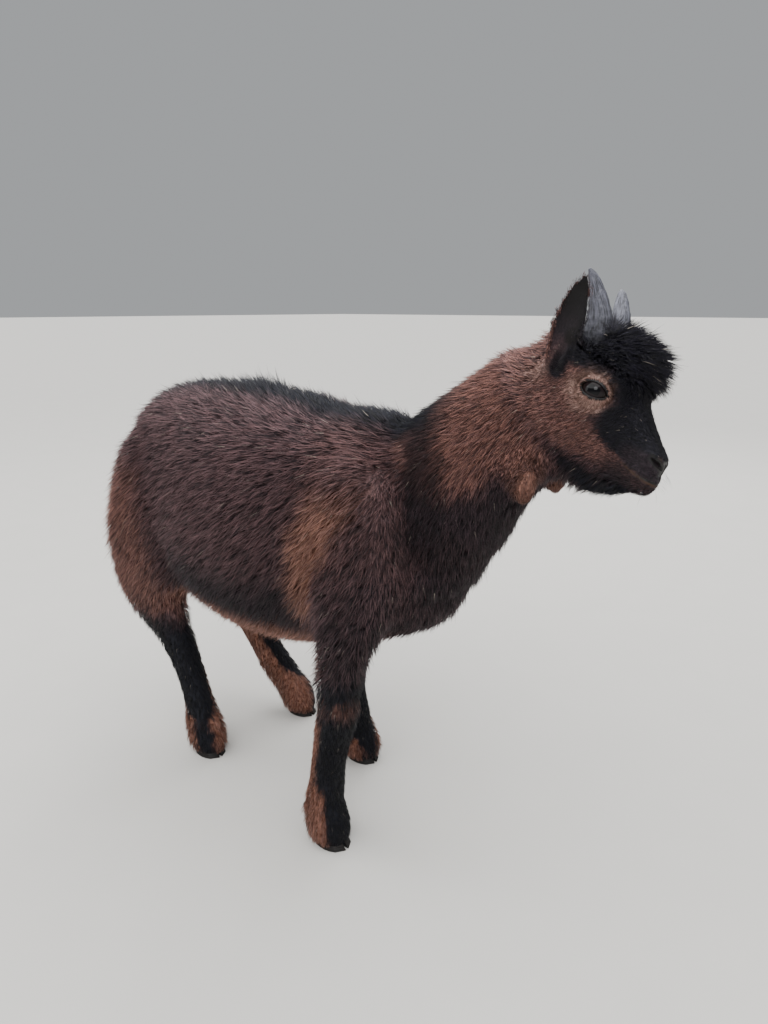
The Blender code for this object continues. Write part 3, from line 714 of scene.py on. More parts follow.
def skin_marks(points, normals, share):
    """Black, tan, red and pale shares of the coat's markings, over its brown ground."""
    part = by_region(share)
    x, y, z = (points / MM).T
    wander = ripple(points, 0.030, 1)
    fine = ripple(points, 0.009, 2)
    ragged = wander * 3.0 + fine * 1.5
    black, tan, red, bleach = torso_marks(points, normals, share, wander, fine)

    # the face: blaze, jaw, muzzle and chin black, a pale ring round the eye, red cheeks
    head = folded(to_head(points))
    forward, _, up = head.T
    rag = wander * 1.6 + fine * 0.9
    edge = np.interp(up, *FACE_EDGE)
    blaze = ramp(forward - edge + rag, -4.0, 4.0)
    jaw = ramp(up + rag - 0.25 * np.maximum(forward - 30, 0), -35, -42) * ramp(forward, -14, 4)
    ring = eye_ring(eye_chart(to_head(points))[:, 3], forward, rag)
    muzzle = ramp(forward + rag, 22, 40) * 0.8 * ramp(up, 0, -14)
    mouth_up = np.interp(forward, MOUTH_FORWARD, MOUTH_UP)
    chin = ramp(up - mouth_up + rag, -1.5, -7) * ramp(forward + rag, 18, 36) * 0.85
    blaze_share = 0.97 - 0.3 * ramp(forward, 30, 42) * ramp(up, -10, -16)
    black = np.maximum(black, part["head"] * np.maximum.reduce([blaze * blaze_share, jaw, muzzle, chin]))
    black *= 1 - part["head"] * ring * 0.95
    pale = np.maximum(part["head"] * ring, bleach)
    cheek = part["head"] * ramp(up, -38, -30) * (1 - blaze)
    red = np.maximum(red, cheek * 0.8)
    tuft = np.linalg.norm(head - EAR_TUFT, axis=1)
    pale = np.maximum(pale, (part["head"] + part["ear"]) * ramp(tuft + rag, 12, 4) * 0.6)

    # the ears: red outside, black at tip, rim and hollow, browner at the back of the hollow
    ear = part["ear"]
    opening = ear_facing(to_head(points), normals)
    hollow = ear * ramp(opening, 0.0, 0.25)
    ear_rim = ramp(opening, -0.8, -0.3)
    red = np.maximum(red, (ear - hollow) * 0.9)
    black = np.maximum(black, ear * np.maximum(ramp(up, 14, 44) * 0.6, ear_rim * ramp(up, 4, 24) * 0.85))
    cup, _ = along_line(head, EAR_CUP)
    brink, _ = along_line(head, EAR_BRINK)
    inside = np.maximum(ramp(cup, 8.0, 5.5), ramp(brink, 10, 7))
    hollow = np.maximum(hollow, (part["head"] + ear) * inside)
    black = np.maximum(black, hollow * lerp(0.97, 0.6, ear * ear_wall(forward, up)))

    # wattles with the hair round them, and the tail
    fuzz = ramp(to_wattle(points) + ragged, 18, 11)
    fuzz = np.maximum(ramp(part["wattle"], 0.2, 0.6), 0.6 * fuzz)
    tan = np.maximum(tan, fuzz * 0.9)
    black = lerp(black, 0.36, fuzz)
    black = np.maximum(black, part["tail"] * 0.85)

    # the legs: black in front, tan behind and at the feet, a tan band across the knee
    low = part["leg"] + part["foot"]
    fore = x > -20
    outward = normals[:, 1] * np.where(fore, np.sign(y), np.sign(y - HIND_MIDDLE))
    ahead = normals[:, 0]
    facing = np.where(fore, 0.98 * ahead - 0.2 * outward, 0.7 * ahead + 0.71 * outward) + fine * 0.07
    edge = np.where(fore, np.interp(z, *FORE_LEG_EDGE), np.interp(z, *HIND_LEG_EDGE))
    edge = edge + 0.5 * fore * (y > 0) * ramp(z + ragged, 34, 20)
    legs_tan = ramp(facing - edge, 0.12, -0.12) * ramp(z, 3, 9)
    knee = ramp(np.abs(z - KNEE_HEIGHT + fine * 1.5), 7, 3) * fore * 0.55
    tan = np.maximum(tan, low * np.maximum(legs_tan, knee))
    stocking = np.where(fore, 1.0, ramp(z + ragged * 2, 152, 120))
    red = np.maximum(red, low * (1 - stocking) * 0.7)
    black = np.maximum(black, low * (1 - legs_tan) * (1 - knee) * stocking)
    return np.clip(np.column_stack([black, tan, red, pale]), 0, 1)


def ear_wall(forward, up):
    """1 on the lower back wall of the ear's hollow, which is browner and less bare."""
    return ramp(up, 40, 18) * ramp(forward + 0.12 * up, -26, -31)


def bare_skin(points, normals, share):
    """Where hair is short or missing: nose leather, lips, inside of the ear, rims of the eyes."""
    part = by_region(share)
    whole = to_head(points)
    head = folded(whole)
    forward, out, up = head.T
    nostril, _ = along_line(head, NOSTRIL)
    mouth, _ = along_line(head, MOUTH)
    leather = np.maximum(ramp(nostril, 3.4, 2.2), ramp(out, 6, 3.5) * ramp(up, -24, -21) * ramp(up, -9, -12))
    leather *= ramp(forward, 46, 50)
    below = ramp(up - np.interp(forward, MOUTH_FORWARD, MOUTH_UP), 0.2, -0.5)
    lip = ramp(mouth, 2.6, 1.8) * ramp(forward, 33, 40) * below
    wing = np.linalg.norm((head - NOSE_WING) / (5.0, 4.0, 3.0), axis=1)
    lip = np.maximum(lip, ramp(wing, 1.3, 0.6) * 0.55)
    leather = np.maximum(leather, ramp(mouth, 1.1, 0.6) * ramp(forward, 31, 36))
    rim = ramp(eye_chart(whole)[:, 3], 2.6, 1.3) * part["head"]
    cup, _ = along_line(head, EAR_CUP)
    inner = part["ear"] * ramp(ear_facing(whole, normals), 0.0, 0.25) * 0.9
    inner *= 1 - 0.75 * ear_wall(forward, up)
    inner = np.maximum(inner, ramp(cup, 6.0, 3.5))
    return np.clip(np.column_stack([leather, lip, inner, rim]), 0, 1)


def way(*vector):
    """One direction, as a row that goes with any number of points."""
    return unit(np.array([vector], float))


def lie_on_head(points):
    """The way the hair points on the head, in the head's frame."""
    head = to_head(points)
    forward, out, up = folded(head).T
    flow = lerp(way(-0.62, 0, -0.78), way(-0.95, 0, -0.30), ramp(forward, 18, 34))
    bridge = ramp(out, 11, 5) * ramp(forward, 12, 22) * ramp(up, -12, -6)
    flow = lerp(flow, way(0.97, 0, -0.25), bridge)
    crown = np.column_stack([np.full(len(points), 0.9), head[:, 1] / 40, np.full(len(points), 0.15)])
    flow = lerp(flow, unit(crown), ramp(up, 14, 22) * ramp(forward, -32, -20))
    flow = lerp(flow, way(-0.95, 0, -0.3), ramp(forward, -32, -42))
    chin = np.interp(forward, [0, 48, 56], [-0.5, -0.3, 0.25])
    under = unit(np.column_stack([chin, out * 0, out * 0 - 0.95]))
    flow = lerp(flow, under, ramp(up, -30, -40))
    chart = eye_chart(head)
    away = np.zeros((len(points), 3))
    for _, side in SIDES:
        near = head[:, 1] * side > 0
        _, ahead, over, _ = eye_axes(side)
        away[near] = chart[near, 0, None] * ahead + chart[near, 1, None] * over
    return unit(flow + unit(away) * (2.4 * ramp(chart[:, 3], 9, 1))[:, None])


def lie_of_coat(points, normals, share):
    """The way the hair points at each place, laid along the skin."""
    x, _, z = (points / MM).T
    part = {region: column[:, None] for region, column in by_region(share).items()}
    top = ramp(z, 295, 356)
    flow = lerp(way(-0.68, 0, -0.73), way(-1, 0, -0.22), top)
    flow = lerp(flow, way(-0.58, 0, -0.81), ramp(z, 225, 185))
    flow = lerp(flow, way(-0.30, 0, -0.95), ramp(x, -125, -190) * (1 - top))
    flow = lerp(flow, way(-0.34, 0, -0.94), ramp(x, -10, 90) * (1 - top))
    flow = lerp(flow, way(-0.12, 0, -1.0), ramp(x, 90, 165) * ramp(z, 345, 285))
    flow = lerp(flow, way(-1, 0, 0), ramp(normals[:, 2], -0.55, -0.85))
    neck = lerp(way(-0.15, 0, -1), way(-0.62, 0, -0.78), ramp(z, 285, 345))
    sign = np.sign(to_head(points)[:, 1])
    same = np.ones(len(points))
    ear = np.subtract(EAR_TIP, EAR_ROOT) * np.column_stack([same, sign, same])
    total = (
        flow * part["trunk"]
        + neck * part["neck"]
        + head_direction(lie_on_head(points)) * part["head"]
        + head_direction(unit(ear)) * part["ear"]
        + way(-0.15, 0, -1) * part["tail"]
        + way(-0.1, 0, -1) * part["wattle"]
        + way(-0.12, 0, -1) * part["leg"]
        + way(-0.02, 0, -1) * part["foot"]
    )
    return unit(total - (total * normals).sum(1, keepdims=True) * normals)


def coat_shape(points, normals, share, depth, marks, bare):
    """Per point: millimetres of depth, of hair length, of half width, of clump size; density, gather.

    Density is the number of tufts against the body's, and gather is how far the tips of a clump
    come together, 0 to 1.
    """
    part = by_region(share)
    head = folded(to_head(points))
    forward, _, up = head.T
    x, y, z = (points / MM).T
    body = np.clip(part["neck"] + part["trunk"], 0, 1)
    length = depth * 1.75
    length = lerp(length, 15.0, body * ramp(x, 85, 125) * ramp(depth, 4, 7))
    thick = np.interp(depth, COAT_DEPTHS, [0.12, 0.16, 0.25, 0.34])
    clump = np.interp(depth, COAT_DEPTHS, [1.2, 1.4, 1.9, 2.6])
    density = np.interp(depth, COAT_DEPTHS, [3.4, 2.6, 1.4, 1.0])
    gather = np.full(len(points), 0.22)

    crown = part["head"] * ramp(up, 17, 27) * ramp(forward, -40, -30)
    depth = depth + 1.5 * crown
    length = lerp(length, depth * 1.48, crown)
    density = lerp(density, 1.9, crown)
    gather = lerp(gather, 0.4, crown)
    face = part["head"] * ramp(depth, 6, 3)
    length = lerp(length, depth * 2.2 + 0.8, face)
    chin = part["head"] * ramp(up, -34, -44)
    length = lerp(length, depth * 1.6, chin)
    foot, _ = along_line(head, EAR_FOOT)
    length = lerp(length, 2.8, np.maximum(part["ear"], part["head"] * ramp(foot, 15, 9)))
    gather = gather * (1 - 0.8 * part["ear"])
    clump = lerp(clump, 2.4, part["ear"])
    beard = 0.7 * ramp(to_wattle(points), 27, 19)
    length = lerp(length, 4.5, np.maximum(ramp(part["wattle"], 0.2, 0.6), beard))

    legs = np.clip(part["leg"] + part["foot"], 0, 1)
    length = lerp(length, depth * 1.2 + 5.4, legs)
    thick = lerp(thick, 0.18, legs)
    gather = lerp(gather, 0.1, legs)
    fringe = marks[:, 1] * legs * ramp(z, 62, 40)
    depth = depth + 3.2 * fringe
    length = length + 3.5 * fringe

    lock = marks[:, 1] * part["trunk"] * ramp(normals[:, 2], -0.7, -0.3)
    gather = lerp(gather, 0.6, lock)
    hang = lock * island(x, z, (47, 222), (11, 13))
    length = length + 14 * hang
    gather = lerp(gather, 0.9, hang)
    ruff = part["trunk"] * ramp(np.abs(y), 22, 8) * ramp(z, 325, 345) * ramp(np.abs(x + 80), 26, 10)
    depth = depth + 7 * ruff
    length = lerp(length, depth * 1.45, ruff)
    gather = lerp(gather, 0.85, ruff)

    eye = eye_chart(to_head(points))[:, 3]
    density = density * (1 + part["head"] * (ramp(eye, 0.3, 0.9) * (1 + 0.8 * ramp(eye, 7, 3)) - 1))
    mouth, _ = along_line(head, MOUTH)
    density = density * ramp(mouth, 1.3, 2.1)
    density = density * (1 - 0.93 * bare[:, 0]) * (1 - 0.8 * bare[:, 1]) * (1 - 0.55 * bare[:, 2])
    density = density * ramp(z, 4.0, 7.0)
    return np.column_stack([depth, length, thick, clump, density, gather])


# ---------------------------------------------------------------- coat

# how a tuft grows: root below the skin, bend at this share of its length, share that sticks out
ROOT_DEPTH = 0.5 * MM
BEND_SHARE = 0.42
WILD_SHARE = 0.06
# the width of a tuft's place on the unwrap
PATCH = 0.003
# the coat ends this far above the floor
FLOOR_HAIR = 3.6 * MM
# lashes an eye, whiskers in all
LASHES = 34
WHISKERS = 46
LASH_SEED = 5


def triangles_of(mesh):
    """(corner points, corner loops, areas) of a mesh's triangles."""
    mesh.calc_loop_triangles()
    corners = read(mesh.loop_triangles, "vertices", 3, np.int32)
    loops = read(mesh.loop_triangles, "loops", 3, np.int32)
    area = read(mesh.loop_triangles, "area")
    return corners, loops, area


def across(direction, normal):
    """Two directions square to each of the given ones."""
    u = unit(np.cross(direction, normal) + 1e-9)
    return u, np.cross(direction, u)


def walk(points):
    """Sorts points along a path that stays close to itself, so that near in line is near in space."""
    cells = np.floor(points / (2 * MM)).astype(np.int64) + 512
    code = np.zeros(len(points), np.int64)
    for bit in range(10):
        for axis in range(3):
            code |= ((cells[:, axis] >> bit) & 1) << (3 * bit + axis)
    return np.argsort(code, kind="stable")


def tuft_rows(skin, picked, count, per_clump, rng):
    """Root, bend and tip of each tuft, with its half width, place on the unwrap and markings."""
    corners, loops, area = skin["corners"], skin["loops"], skin["area"]
    weight = area * skin["shape"][corners, 4].mean(1) * picked[corners].mean(1)
    clumps = count // per_clump
    order = walk(skin["points"][corners].mean(1))
    heap = np.cumsum(weight[order])
    steps = (np.arange(clumps) + rng.random(clumps)) / clumps
    tri = order[np.minimum(np.searchsorted(heap, steps * heap[-1]), len(order) - 1)]
    a, b = rng.random((2, clumps))
    flip = a + b > 1
    a, b = np.where(flip, 1 - a, a), np.where(flip, 1 - b, b)
    share = np.column_stack([1 - a - b, a, b])

    def at(values):
        return (values[corners[tri]] * share[:, :, None]).sum(1)

    place, normal, lie = at(skin["points"]), unit(at(skin["normals"])), unit(at(skin["lie"]))
    shape, marks = at(skin["shape"]), at(skin["marks"])
    spot = (skin["unwrap"][loops[tri]] * share[:, :, None]).sum(1)
    lie = unit(lie - (lie * normal).sum(1, keepdims=True) * normal)
    beside = np.cross(normal, lie)

    swing = rng.normal(0, 1, clumps) * np.interp(shape[:, 0], [1, 4, 12], [0.10, 0.14, 0.22])
    lie = unit(lie + beside * swing[:, None])
    stretch = rng.uniform(0.86, 1.08, clumps)
    tone = rng.uniform(0, 1, clumps)

    def each(values):
        return np.repeat(values, per_clump, axis=0)

    place, normal, lie, shape, marks = map(each, (place, normal, lie, shape, marks))
    spot, stretch, tone = map(each, (spot, stretch, tone))
    marks[:, 1:3] = np.clip(marks[:, 1:3] * rng.uniform(0.35, 1.3, (len(place), 1)), 0, 1)
    beside = np.cross(normal, lie)
    depth, length, thick, clump, _, gather = shape.T
    gather = np.clip(gather * each(rng.choice([0.5, 1.0, 2.6], clumps, p=[0.5, 0.32, 0.18])), 0, 0.9)
    size = len(place)
    ring = np.sqrt(rng.random(size)) * clump * MM
    turn = rng.uniform(0, 2 * math.pi, size)
    dx, dy = ring * np.cos(turn), ring * np.sin(turn)
    root = place + lie * dx[:, None] + beside * dy[:, None] - normal * ROOT_DEPTH

    wild = rng.random(size) < WILD_SHARE
    reach = length * stretch * rng.uniform(0.72, 1.05, size) * np.where(wild, 1.15, 1.0) * MM
    rise = np.clip(1.2 * depth / np.maximum(length, 0.1), 0.05, 0.97)
    rise = np.arcsin(rise) * rng.uniform(0.55, 1.08, size) * np.where(wild, 1.2, 1.0)
    sway = rng.normal(0, 1, size) * np.interp(depth, [1, 4, 12], [0.10, 0.13, 0.20])

    def ahead(angle, side):
        out = np.sin(angle)[:, None] * normal + np.cos(angle)[:, None] * lie
        return unit(out + side[:, None] * beside)

    bend = root + ahead(np.minimum(rise * 1.3 + 0.05, 1.5), sway * 0.5) * (reach * BEND_SHARE)[:, None]
    droop = np.interp(depth, [2, 8], [0.45, 0.78])
    tip = bend + ahead(rise * droop, sway) * (reach * (1 - BEND_SHARE))[:, None]
    middle = each(np.arange(clumps) * per_clump)
    heart_bend = bend[middle] + (root - root[middle]) * 0.35
    heart_tip = tip[middle] + (root - root[middle]) * 0.12
    bend = lerp(bend, heart_bend, gather * 0.6)
    tip = lerp(tip, heart_tip, gather * (~wild))
    width = thick * MM * rng.uniform(0.75, 1.15, size) * np.where(wild, 0.7, 1.0)
    tip[:, 2] = np.maximum(tip[:, 2], FLOOR_HAIR)
    bend[:, 2] = np.maximum(bend[:, 2], FLOOR_HAIR)
    hue = np.column_stack([lerp(tone, rng.random(size), 0.8), rng.random(size)])
    return root, bend, tip, width, spot, marks, hue


def tuft_mesh(name, root, bend, tip, width, spot, marks, hue):
    """One mesh of closed spindles: a root point, a ring of three at the bend and a tip."""
    count = len(root)
    along = unit(tip - root)
    u, v = across(along, unit(bend - root) + np.array((0.13, 0.29, 0.71)))
    points = np.empty((count, 5, 3))
    points[:, 0] = root
    for k in range(3):
        turn = 2 * math.pi * k / 3
        side = u * math.cos(turn) + v * math.sin(turn)
        points[:, 1 + k] = bend + side * width[:, None]
    points[:, 4] = tip
    faces = np.array([(1, 2, 4), (2, 3, 4), (3, 1, 4), (2, 1, 0), (3, 2, 0), (1, 3, 0)])
    index = (faces.ravel()[None] + 5 * np.arange(count)[:, None]).ravel().astype(np.int32)
    mesh = bpy.data.meshes.new(name)
    mesh.vertices.add(5 * count)
    mesh.vertices.foreach_set("co", points.astype(np.float32).ravel())
    mesh.loops.add(len(index))
    mesh.loops.foreach_set("vertex_index", index)
    mesh.polygons.add(6 * count)
    mesh.polygons.foreach_set("loop_start", np.arange(0, 18 * count, 3, dtype=np.int32))
    mesh.update(calc_edges=True)
    corner = np.array([(0.5, 0.0), (0.0, 0.42), (1.0, 0.38), (0.55, 0.5), (0.5, 1.0)]) - 0.5
    unwrap = mesh.uv_layers.new(name="OFBake")
    flat = spot[:, None] + corner[faces.ravel()][None] * PATCH
    unwrap.data.foreach_set("uv", flat.astype(np.float32).ravel())
    store(mesh, "coat_marks", np.repeat(marks, 5, axis=0))
    steps = np.tile([0, BEND_SHARE, BEND_SHARE, BEND_SHARE, 1], count)
    hues = np.repeat(hue, 5, axis=0)
    store(mesh, "tuft", np.column_stack([steps, hues, np.ones(5 * count)]))
    return mesh


def coat_areas(points, share):
    """Which points of the skin each coat piece grows from, by the piece's name."""
    main = np.array(REGIONS)[share.argmax(1)]
    forward, _, up = to_head(points).T
    head = main == "head"
    crown = head & ((up > 16) & (forward < 32) | (forward < -33))
    body = np.isin(main, ["trunk", "tail"])
    legs = np.isin(main, ["leg", "foot"])
    fore = points[:, 0] > -0.045
    left = points[:, 1] > 0
    return {
        "coat_face": head & ~crown,
        "coat_crown": crown | (main == "ear"),
        "coat_neck": np.isin(main, ["neck", "wattle"]),
        "coat_flank_fore_right": body & fore & ~left,
        "coat_flank_fore_left": body & fore & left,
        "coat_flank_hind_right": body & ~fore & ~left,
        "coat_flank_hind_left": body & ~fore & left,
        "coat_fore_legs": legs & fore,
        "coat_hind_legs": legs & ~fore,
    }


# ---------------------------------------------------------------- materials

# Inputs given by number: Map Range 0 value, 1 and 2 from, 3 and 4 to; Mix 0 share, 6 and 7 colours
COLOURS = {"data_type": "RGBA", "out": 2}
TIMES = {"operation": "MULTIPLY"}
# noise of scale 1 has blobs about this many metres across
BLOB = 0.6


def set_inputs(tree, node, links):
    """Gives each input of a node, by name or number, a socket, a number or a colour."""
    for key, value in links.items():
        entry = node.inputs[key]
        if isinstance(value, bpy.types.NodeSocket):
            tree.links.new(value, entry)
        elif entry.type == "RGBA":
            entry.default_value = (*value, 1)
        else:
            entry.default_value = value


def add(tree, kind, links, out=0, **settings):
    """Adds a node and returns its output `out`, or all of its outputs where out is None."""
    node = tree.nodes.new("ShaderNode" + kind)
    for name, value in settings.items():
        setattr(node, name, value)
    set_inputs(tree, node, links)
    return node.outputs if out is None else node.outputs[out]


def new_material(name):
    mat = bpy.data.materials.new(name)
    mat.use_nodes = True
    tree = mat.node_tree
    return mat, tree, tree.nodes["Principled BSDF"]


def coat_colour(tree, colours, light):
    """Markings over the brown ground, each with a root and a tip colour mixed by `light`."""
    marks = add(tree, "Attribute", {}, None, attribute_name="coat_marks")
    black, tan, red = add(tree, "SeparateColor", {0: marks["Color"]}, None)
    root, tip = colours.brown_root, colours.brown_tip
    layers = [
        (red, colours.red_root, colours.red_tip),
        (tan, colours.tan_root, colours.tan_tip),
        (marks["Alpha"], colours.pale_root, colours.pale_tip),
        (black, colours.black_root, colours.black_tip),
    ]
    for share, below, above in layers:
        root = add(tree, "Mix", {0: share, 6: root, 7: below}, **COLOURS)
        tip = add(tree, "Mix", {0: share, 6: tip, 7: above}, **COLOURS)
    return add(tree, "Mix", {0: light, 6: root, 7: tip}, **COLOURS)


def hair_material(colours):
    """Kid's hair, grown: a dark root, a warm sun-bleached tip and a dull cuticle shine.

    A tuft of 0.2 to 0.7 mm stands for several hairs, since one hair is too thin to show. The blue in the tips
    of black hair is a painted sky reflection.
    """
    mat, tree, shader = new_material("goat hair, grown")
    tuft = add(tree, "Attribute", {}, "Color", attribute_name="tuft")
    along, tone, chance = add(tree, "SeparateColor", {0: tuft}, None)
    rise = add(tree, "MapRange", {0: along, 1: 0.3, 2: 0.95})
    # about one hair in seven stays dark to the tip
    warm = add(tree, "MapRange", {0: tone, 1: 0.22, 2: 0.95, 3: 0.0, 4: 1.08})
    colour = coat_colour(tree, colours, add(tree, "Math", {0: rise, 1: warm}, **TIMES))
    # hay dust pales the outer half of a few hairs in a thousand
    dusty = add(tree, "Math", {0: chance, 1: 0.9965}, operation="GREATER_THAN")
    outer = add(tree, "Math", {0: along, 1: 0.5}, operation="GREATER_THAN")
    dust = add(tree, "Math", {0: add(tree, "Math", {0: dusty, 1: outer}, **TIMES), 1: 0.55}, **TIMES)
    colour = add(tree, "Mix", {0: dust, 6: colour, 7: colours.dust}, **COLOURS)
    look = {"Base Color": colour, "Roughness": 0.52, "Specular IOR Level": 0.24, "IOR": 1.55}
    set_inputs(tree, shader, look)
    return mat


def skin_material(colours):
    """Live skin with flat-lying short hair: the coat's markings, bare leather, lips and lid rims.

    A grain of 0.9 mm stands for the short hair, and pebbles of 1.1 mm make the nose leathery.
    """
    mat, tree, shader = new_material("skin with flat hair, grown")
    place = add(tree, "TexCoord", {}, "Object")
    short_hair = {"Vector": place, "Scale": BLOB / (0.9 * MM), "Detail": 3.0, "Roughness": 0.6}
    grain = add(tree, "TexNoise", short_hair)
    broad = add(tree, "TexNoise", {"Vector": place, "Scale": BLOB / (9 * MM)})
    colour = coat_colour(tree, colours, add(tree, "MapRange", {0: grain, 1: 0.35, 2: 0.75, 3: 0.08, 4: 0.34}))
    bare = add(tree, "Attribute", {}, None, attribute_name="bare_skin")
    leather, lip, inner = add(tree, "SeparateColor", {0: bare["Color"]}, None)
    ear = add(tree, "Mix", {0: broad, 6: colours.ear_deep, 7: colours.ear_skin}, **COLOURS)
    lips = add(tree, "Mix", {0: broad, 6: colours.leather, 7: colours.lip}, **COLOURS)
    most = add(tree, "Math", {0: inner, 1: 0.9}, **TIMES)
    layers = [(most, ear), (lip, lips), (leather, colours.leather), (bare["Alpha"], colours.leather)]
    for share, over in layers:
        colour = add(tree, "Mix", {0: share, 6: colour, 7: over}, **COLOURS)
    naked = add(tree, "Math", {0: leather, 1: bare["Alpha"]}, operation="MAXIMUM")
    pebble = add(tree, "TexVoronoi", {"Vector": place, "Scale": 1 / (1.1 * MM)}, "Distance")
    height = add(tree, "Mix", {0: leather, 6: grain, 7: pebble}, **COLOURS)
    look = {
        "Base Color": colour,
        "Roughness": add(tree, "MapRange", {0: naked, 3: 0.75, 4: 0.46}),
        "Specular IOR Level": 0.25,
        "Normal": add(tree, "Bump", {"Strength": 0.45, "Distance": 0.25 * MM, "Height": height}),
    }
    set_inputs(tree, shader, look)
    return mat


def eye_material(colours):
    """Wet living eye: a dark brown iris with a level bar of a pupil under a clear cornea."""
    mat, tree, shader = new_material("eye, wet")
    gaze = add(tree, "Attribute", {}, "Vector", attribute_name="gaze")
    beside, over, _ = add(tree, "SeparateXYZ", {0: gaze}, None)
    flat = add(tree, "CombineXYZ", {0: beside, 1: over})
    from_middle = add(tree, "VectorMath", {0: flat}, "Value", operation="LENGTH")
    place = add(tree, "TexCoord", {}, "Object")
    fibres = add(tree, "TexNoise", {"Vector": place, "Scale": BLOB / (0.7 * MM), "Detail": 3.0})
    colour = add(tree, "Mix", {0: fibres, 6: colours.iris_dark, 7: colours.iris}, **COLOURS)
    edge = add(tree, "MapRange", {0: from_middle, 1: 0.56, 2: 0.66}, interpolation_type="SMOOTHSTEP")
    colour = add(tree, "Mix", {0: edge, 6: colour, 7: colours.sclera}, **COLOURS)
    # the pupil is a rounded bar: the fourth powers of both shares add up to about 1 at its edge
    powers = []
    for share, half in ((beside, 0.40), (over, 0.23)):
        share = add(tree, "Math", {0: share, 1: half}, operation="DIVIDE")
        powers.append(add(tree, "Math", {0: share, 1: 4.0}, operation="POWER"))
    bar = add(tree, "Math", {0: powers[0], 1: powers[1]}, operation="ADD")
    pupil = add(tree, "MapRange", {0: bar, 1: 1.25, 2: 0.75}, interpolation_type="SMOOTHSTEP")
    look = {
        "Base Color": add(tree, "Mix", {0: pupil, 6: colour, 7: colours.pupil}, **COLOURS),
        "Roughness": 0.5,
        "Specular IOR Level": 0.0,
        "Coat Weight": 0.6,
        "Coat IOR": 1.34,
        "Coat Roughness": 0.1,
    }
    set_inputs(tree, shader, look)
    return mat


def horn_material(colours):
    """Horn, grown: grey, dull and dusty, with lengthwise streaks, flakes of 1.6 mm and a darker foot."""
    mat, tree, shader = new_material("horn, grown and weathered")
    grown = add(tree, "Attribute", {}, "Vector", attribute_name="growth")
    along, turn_x, turn_y = add(tree, "SeparateXYZ", {0: grown}, None)
    # the pattern runs slowly along the horn and fast round it, which draws it out into streaks
    slow = add(tree, "Math", {0: along, 1: 1.1}, **TIMES)
    drawn_out = add(tree, "CombineXYZ", {0: slow, 1: turn_x, 2: turn_y})
    streaks = {"Vector": drawn_out, "Scale": 6.5, "Detail": 5.0, "Roughness": 0.7}
    streaks = add(tree, "TexNoise", streaks)
    place = add(tree, "TexCoord", {}, "Object")
    flakes = {"Vector": place, "Scale": BLOB / (1.6 * MM), "Detail": 4.0, "Roughness": 0.7}
    flakes = add(tree, "TexNoise", flakes)
    band = add(tree, "MapRange", {0: streaks, 1: 0.4, 2: 0.6})
    bloom = add(tree, "MapRange", {0: flakes, 1: 0.52, 2: 0.66})
    base = add(tree, "MapRange", {0: along, 1: 0.62, 2: 0.18})
    colour = add(tree, "Mix", {0: band, 6: colours.horn_dark, 7: colours.horn}, **COLOURS)
    for share, most, over in ((bloom, 0.3, colours.horn_dust), (base, 0.75, colours.horn_base)):
        share = add(tree, "Math", {0: share, 1: most}, **TIMES)
        colour = add(tree, "Mix", {0: share, 6: colour, 7: over}, **COLOURS)
    height = add(tree, "Math", {0: streaks, 1: flakes}, operation="ADD")
    bump = add(tree, "Bump", {"Strength": 0.6, "Distance": 0.5 * MM, "Height": height})
    set_inputs(tree, shader, {"Base Color": colour, "Roughness": 0.68, "Normal": bump})
    return mat


def hoof_material(colours):
    """Hoof horn, grown: near black, with fine level growth lines and dry scuffs."""
    mat, tree, shader = new_material("hoof horn, grown")
    place = add(tree, "TexCoord", {}, "Object")
    height = add(tree, "SeparateXYZ", {0: place}, "Z")
    # growth lines every 1.4 mm
    turns = add(tree, "Math", {0: height, 1: 2 * math.pi / (1.4 * MM)}, **TIMES)
    lines = add(tree, "Math", {0: turns}, operation="SINE")
    scuff = {"Vector": place, "Scale": BLOB / (2.2 * MM), "Detail": 4.0, "Roughness": 0.7}
    worn = add(tree, "MapRange", {0: add(tree, "TexNoise", scuff), 1: 0.45, 2: 0.75})
    look = {
        "Base Color": add(tree, "Mix", {0: worn, 6: colours.hoof, 7: colours.hoof_worn}, **COLOURS),
        "Roughness": 0.6,
        "Specular IOR Level": 0.25,
        "Normal": add(tree, "Bump", {"Strength": 0.35, "Distance": 0.2 * MM, "Height": lines}),
    }
    set_inputs(tree, shader, look)
    return mat


def lash_material(colours):
    """Eyelash and whisker hair, grown: stiff, smooth and dark."""
    mat, tree, shader = new_material("lash hair, grown")
    place = add(tree, "TexCoord", {}, "Object")
    tone = add(tree, "TexNoise", {"Vector": place, "Scale": BLOB / (3 * MM)})
    # the blue of the black tips is a painted sky reflection here too
    colour = add(tree, "Mix", {0: tone, 6: colours.black_root, 7: colours.black_tip}, **COLOURS)
    set_inputs(tree, shader, {"Base Color": colour, "Roughness": 0.4})
    return mat


def floor_material(stage):
    """Studio floor, painted board: pale, matt, with a faint roller grain."""
    mat, tree, shader = new_material("studio floor, painted")
    place = add(tree, "TexCoord", {}, "Object")
    grain = add(tree, "TexNoise", {"Vector": place, "Scale": BLOB / (40 * MM), "Detail": 3.0})
    dim = [0.94 * part for part in stage.floor_colour]
    colour = add(tree, "Mix", {0: grain, 6: dim, 7: stage.floor_colour}, **COLOURS)
    set_inputs(tree, shader, {"Base Color": colour, "Roughness": 0.8})
    return mat


# ---------------------------------------------------------------- settings


def tint(name, description, colour):
    return bpy.props.FloatVectorProperty(
        name=name,
        description=description,
        subtype="COLOR",
        size=3,
        min=0,
        max=1,
        default=linear(colour),
    )


def measure(name, description, default):
    return bpy.props.FloatProperty(
        name=name, description=description, default=default, min=0, unit="LENGTH", precision=5
    )


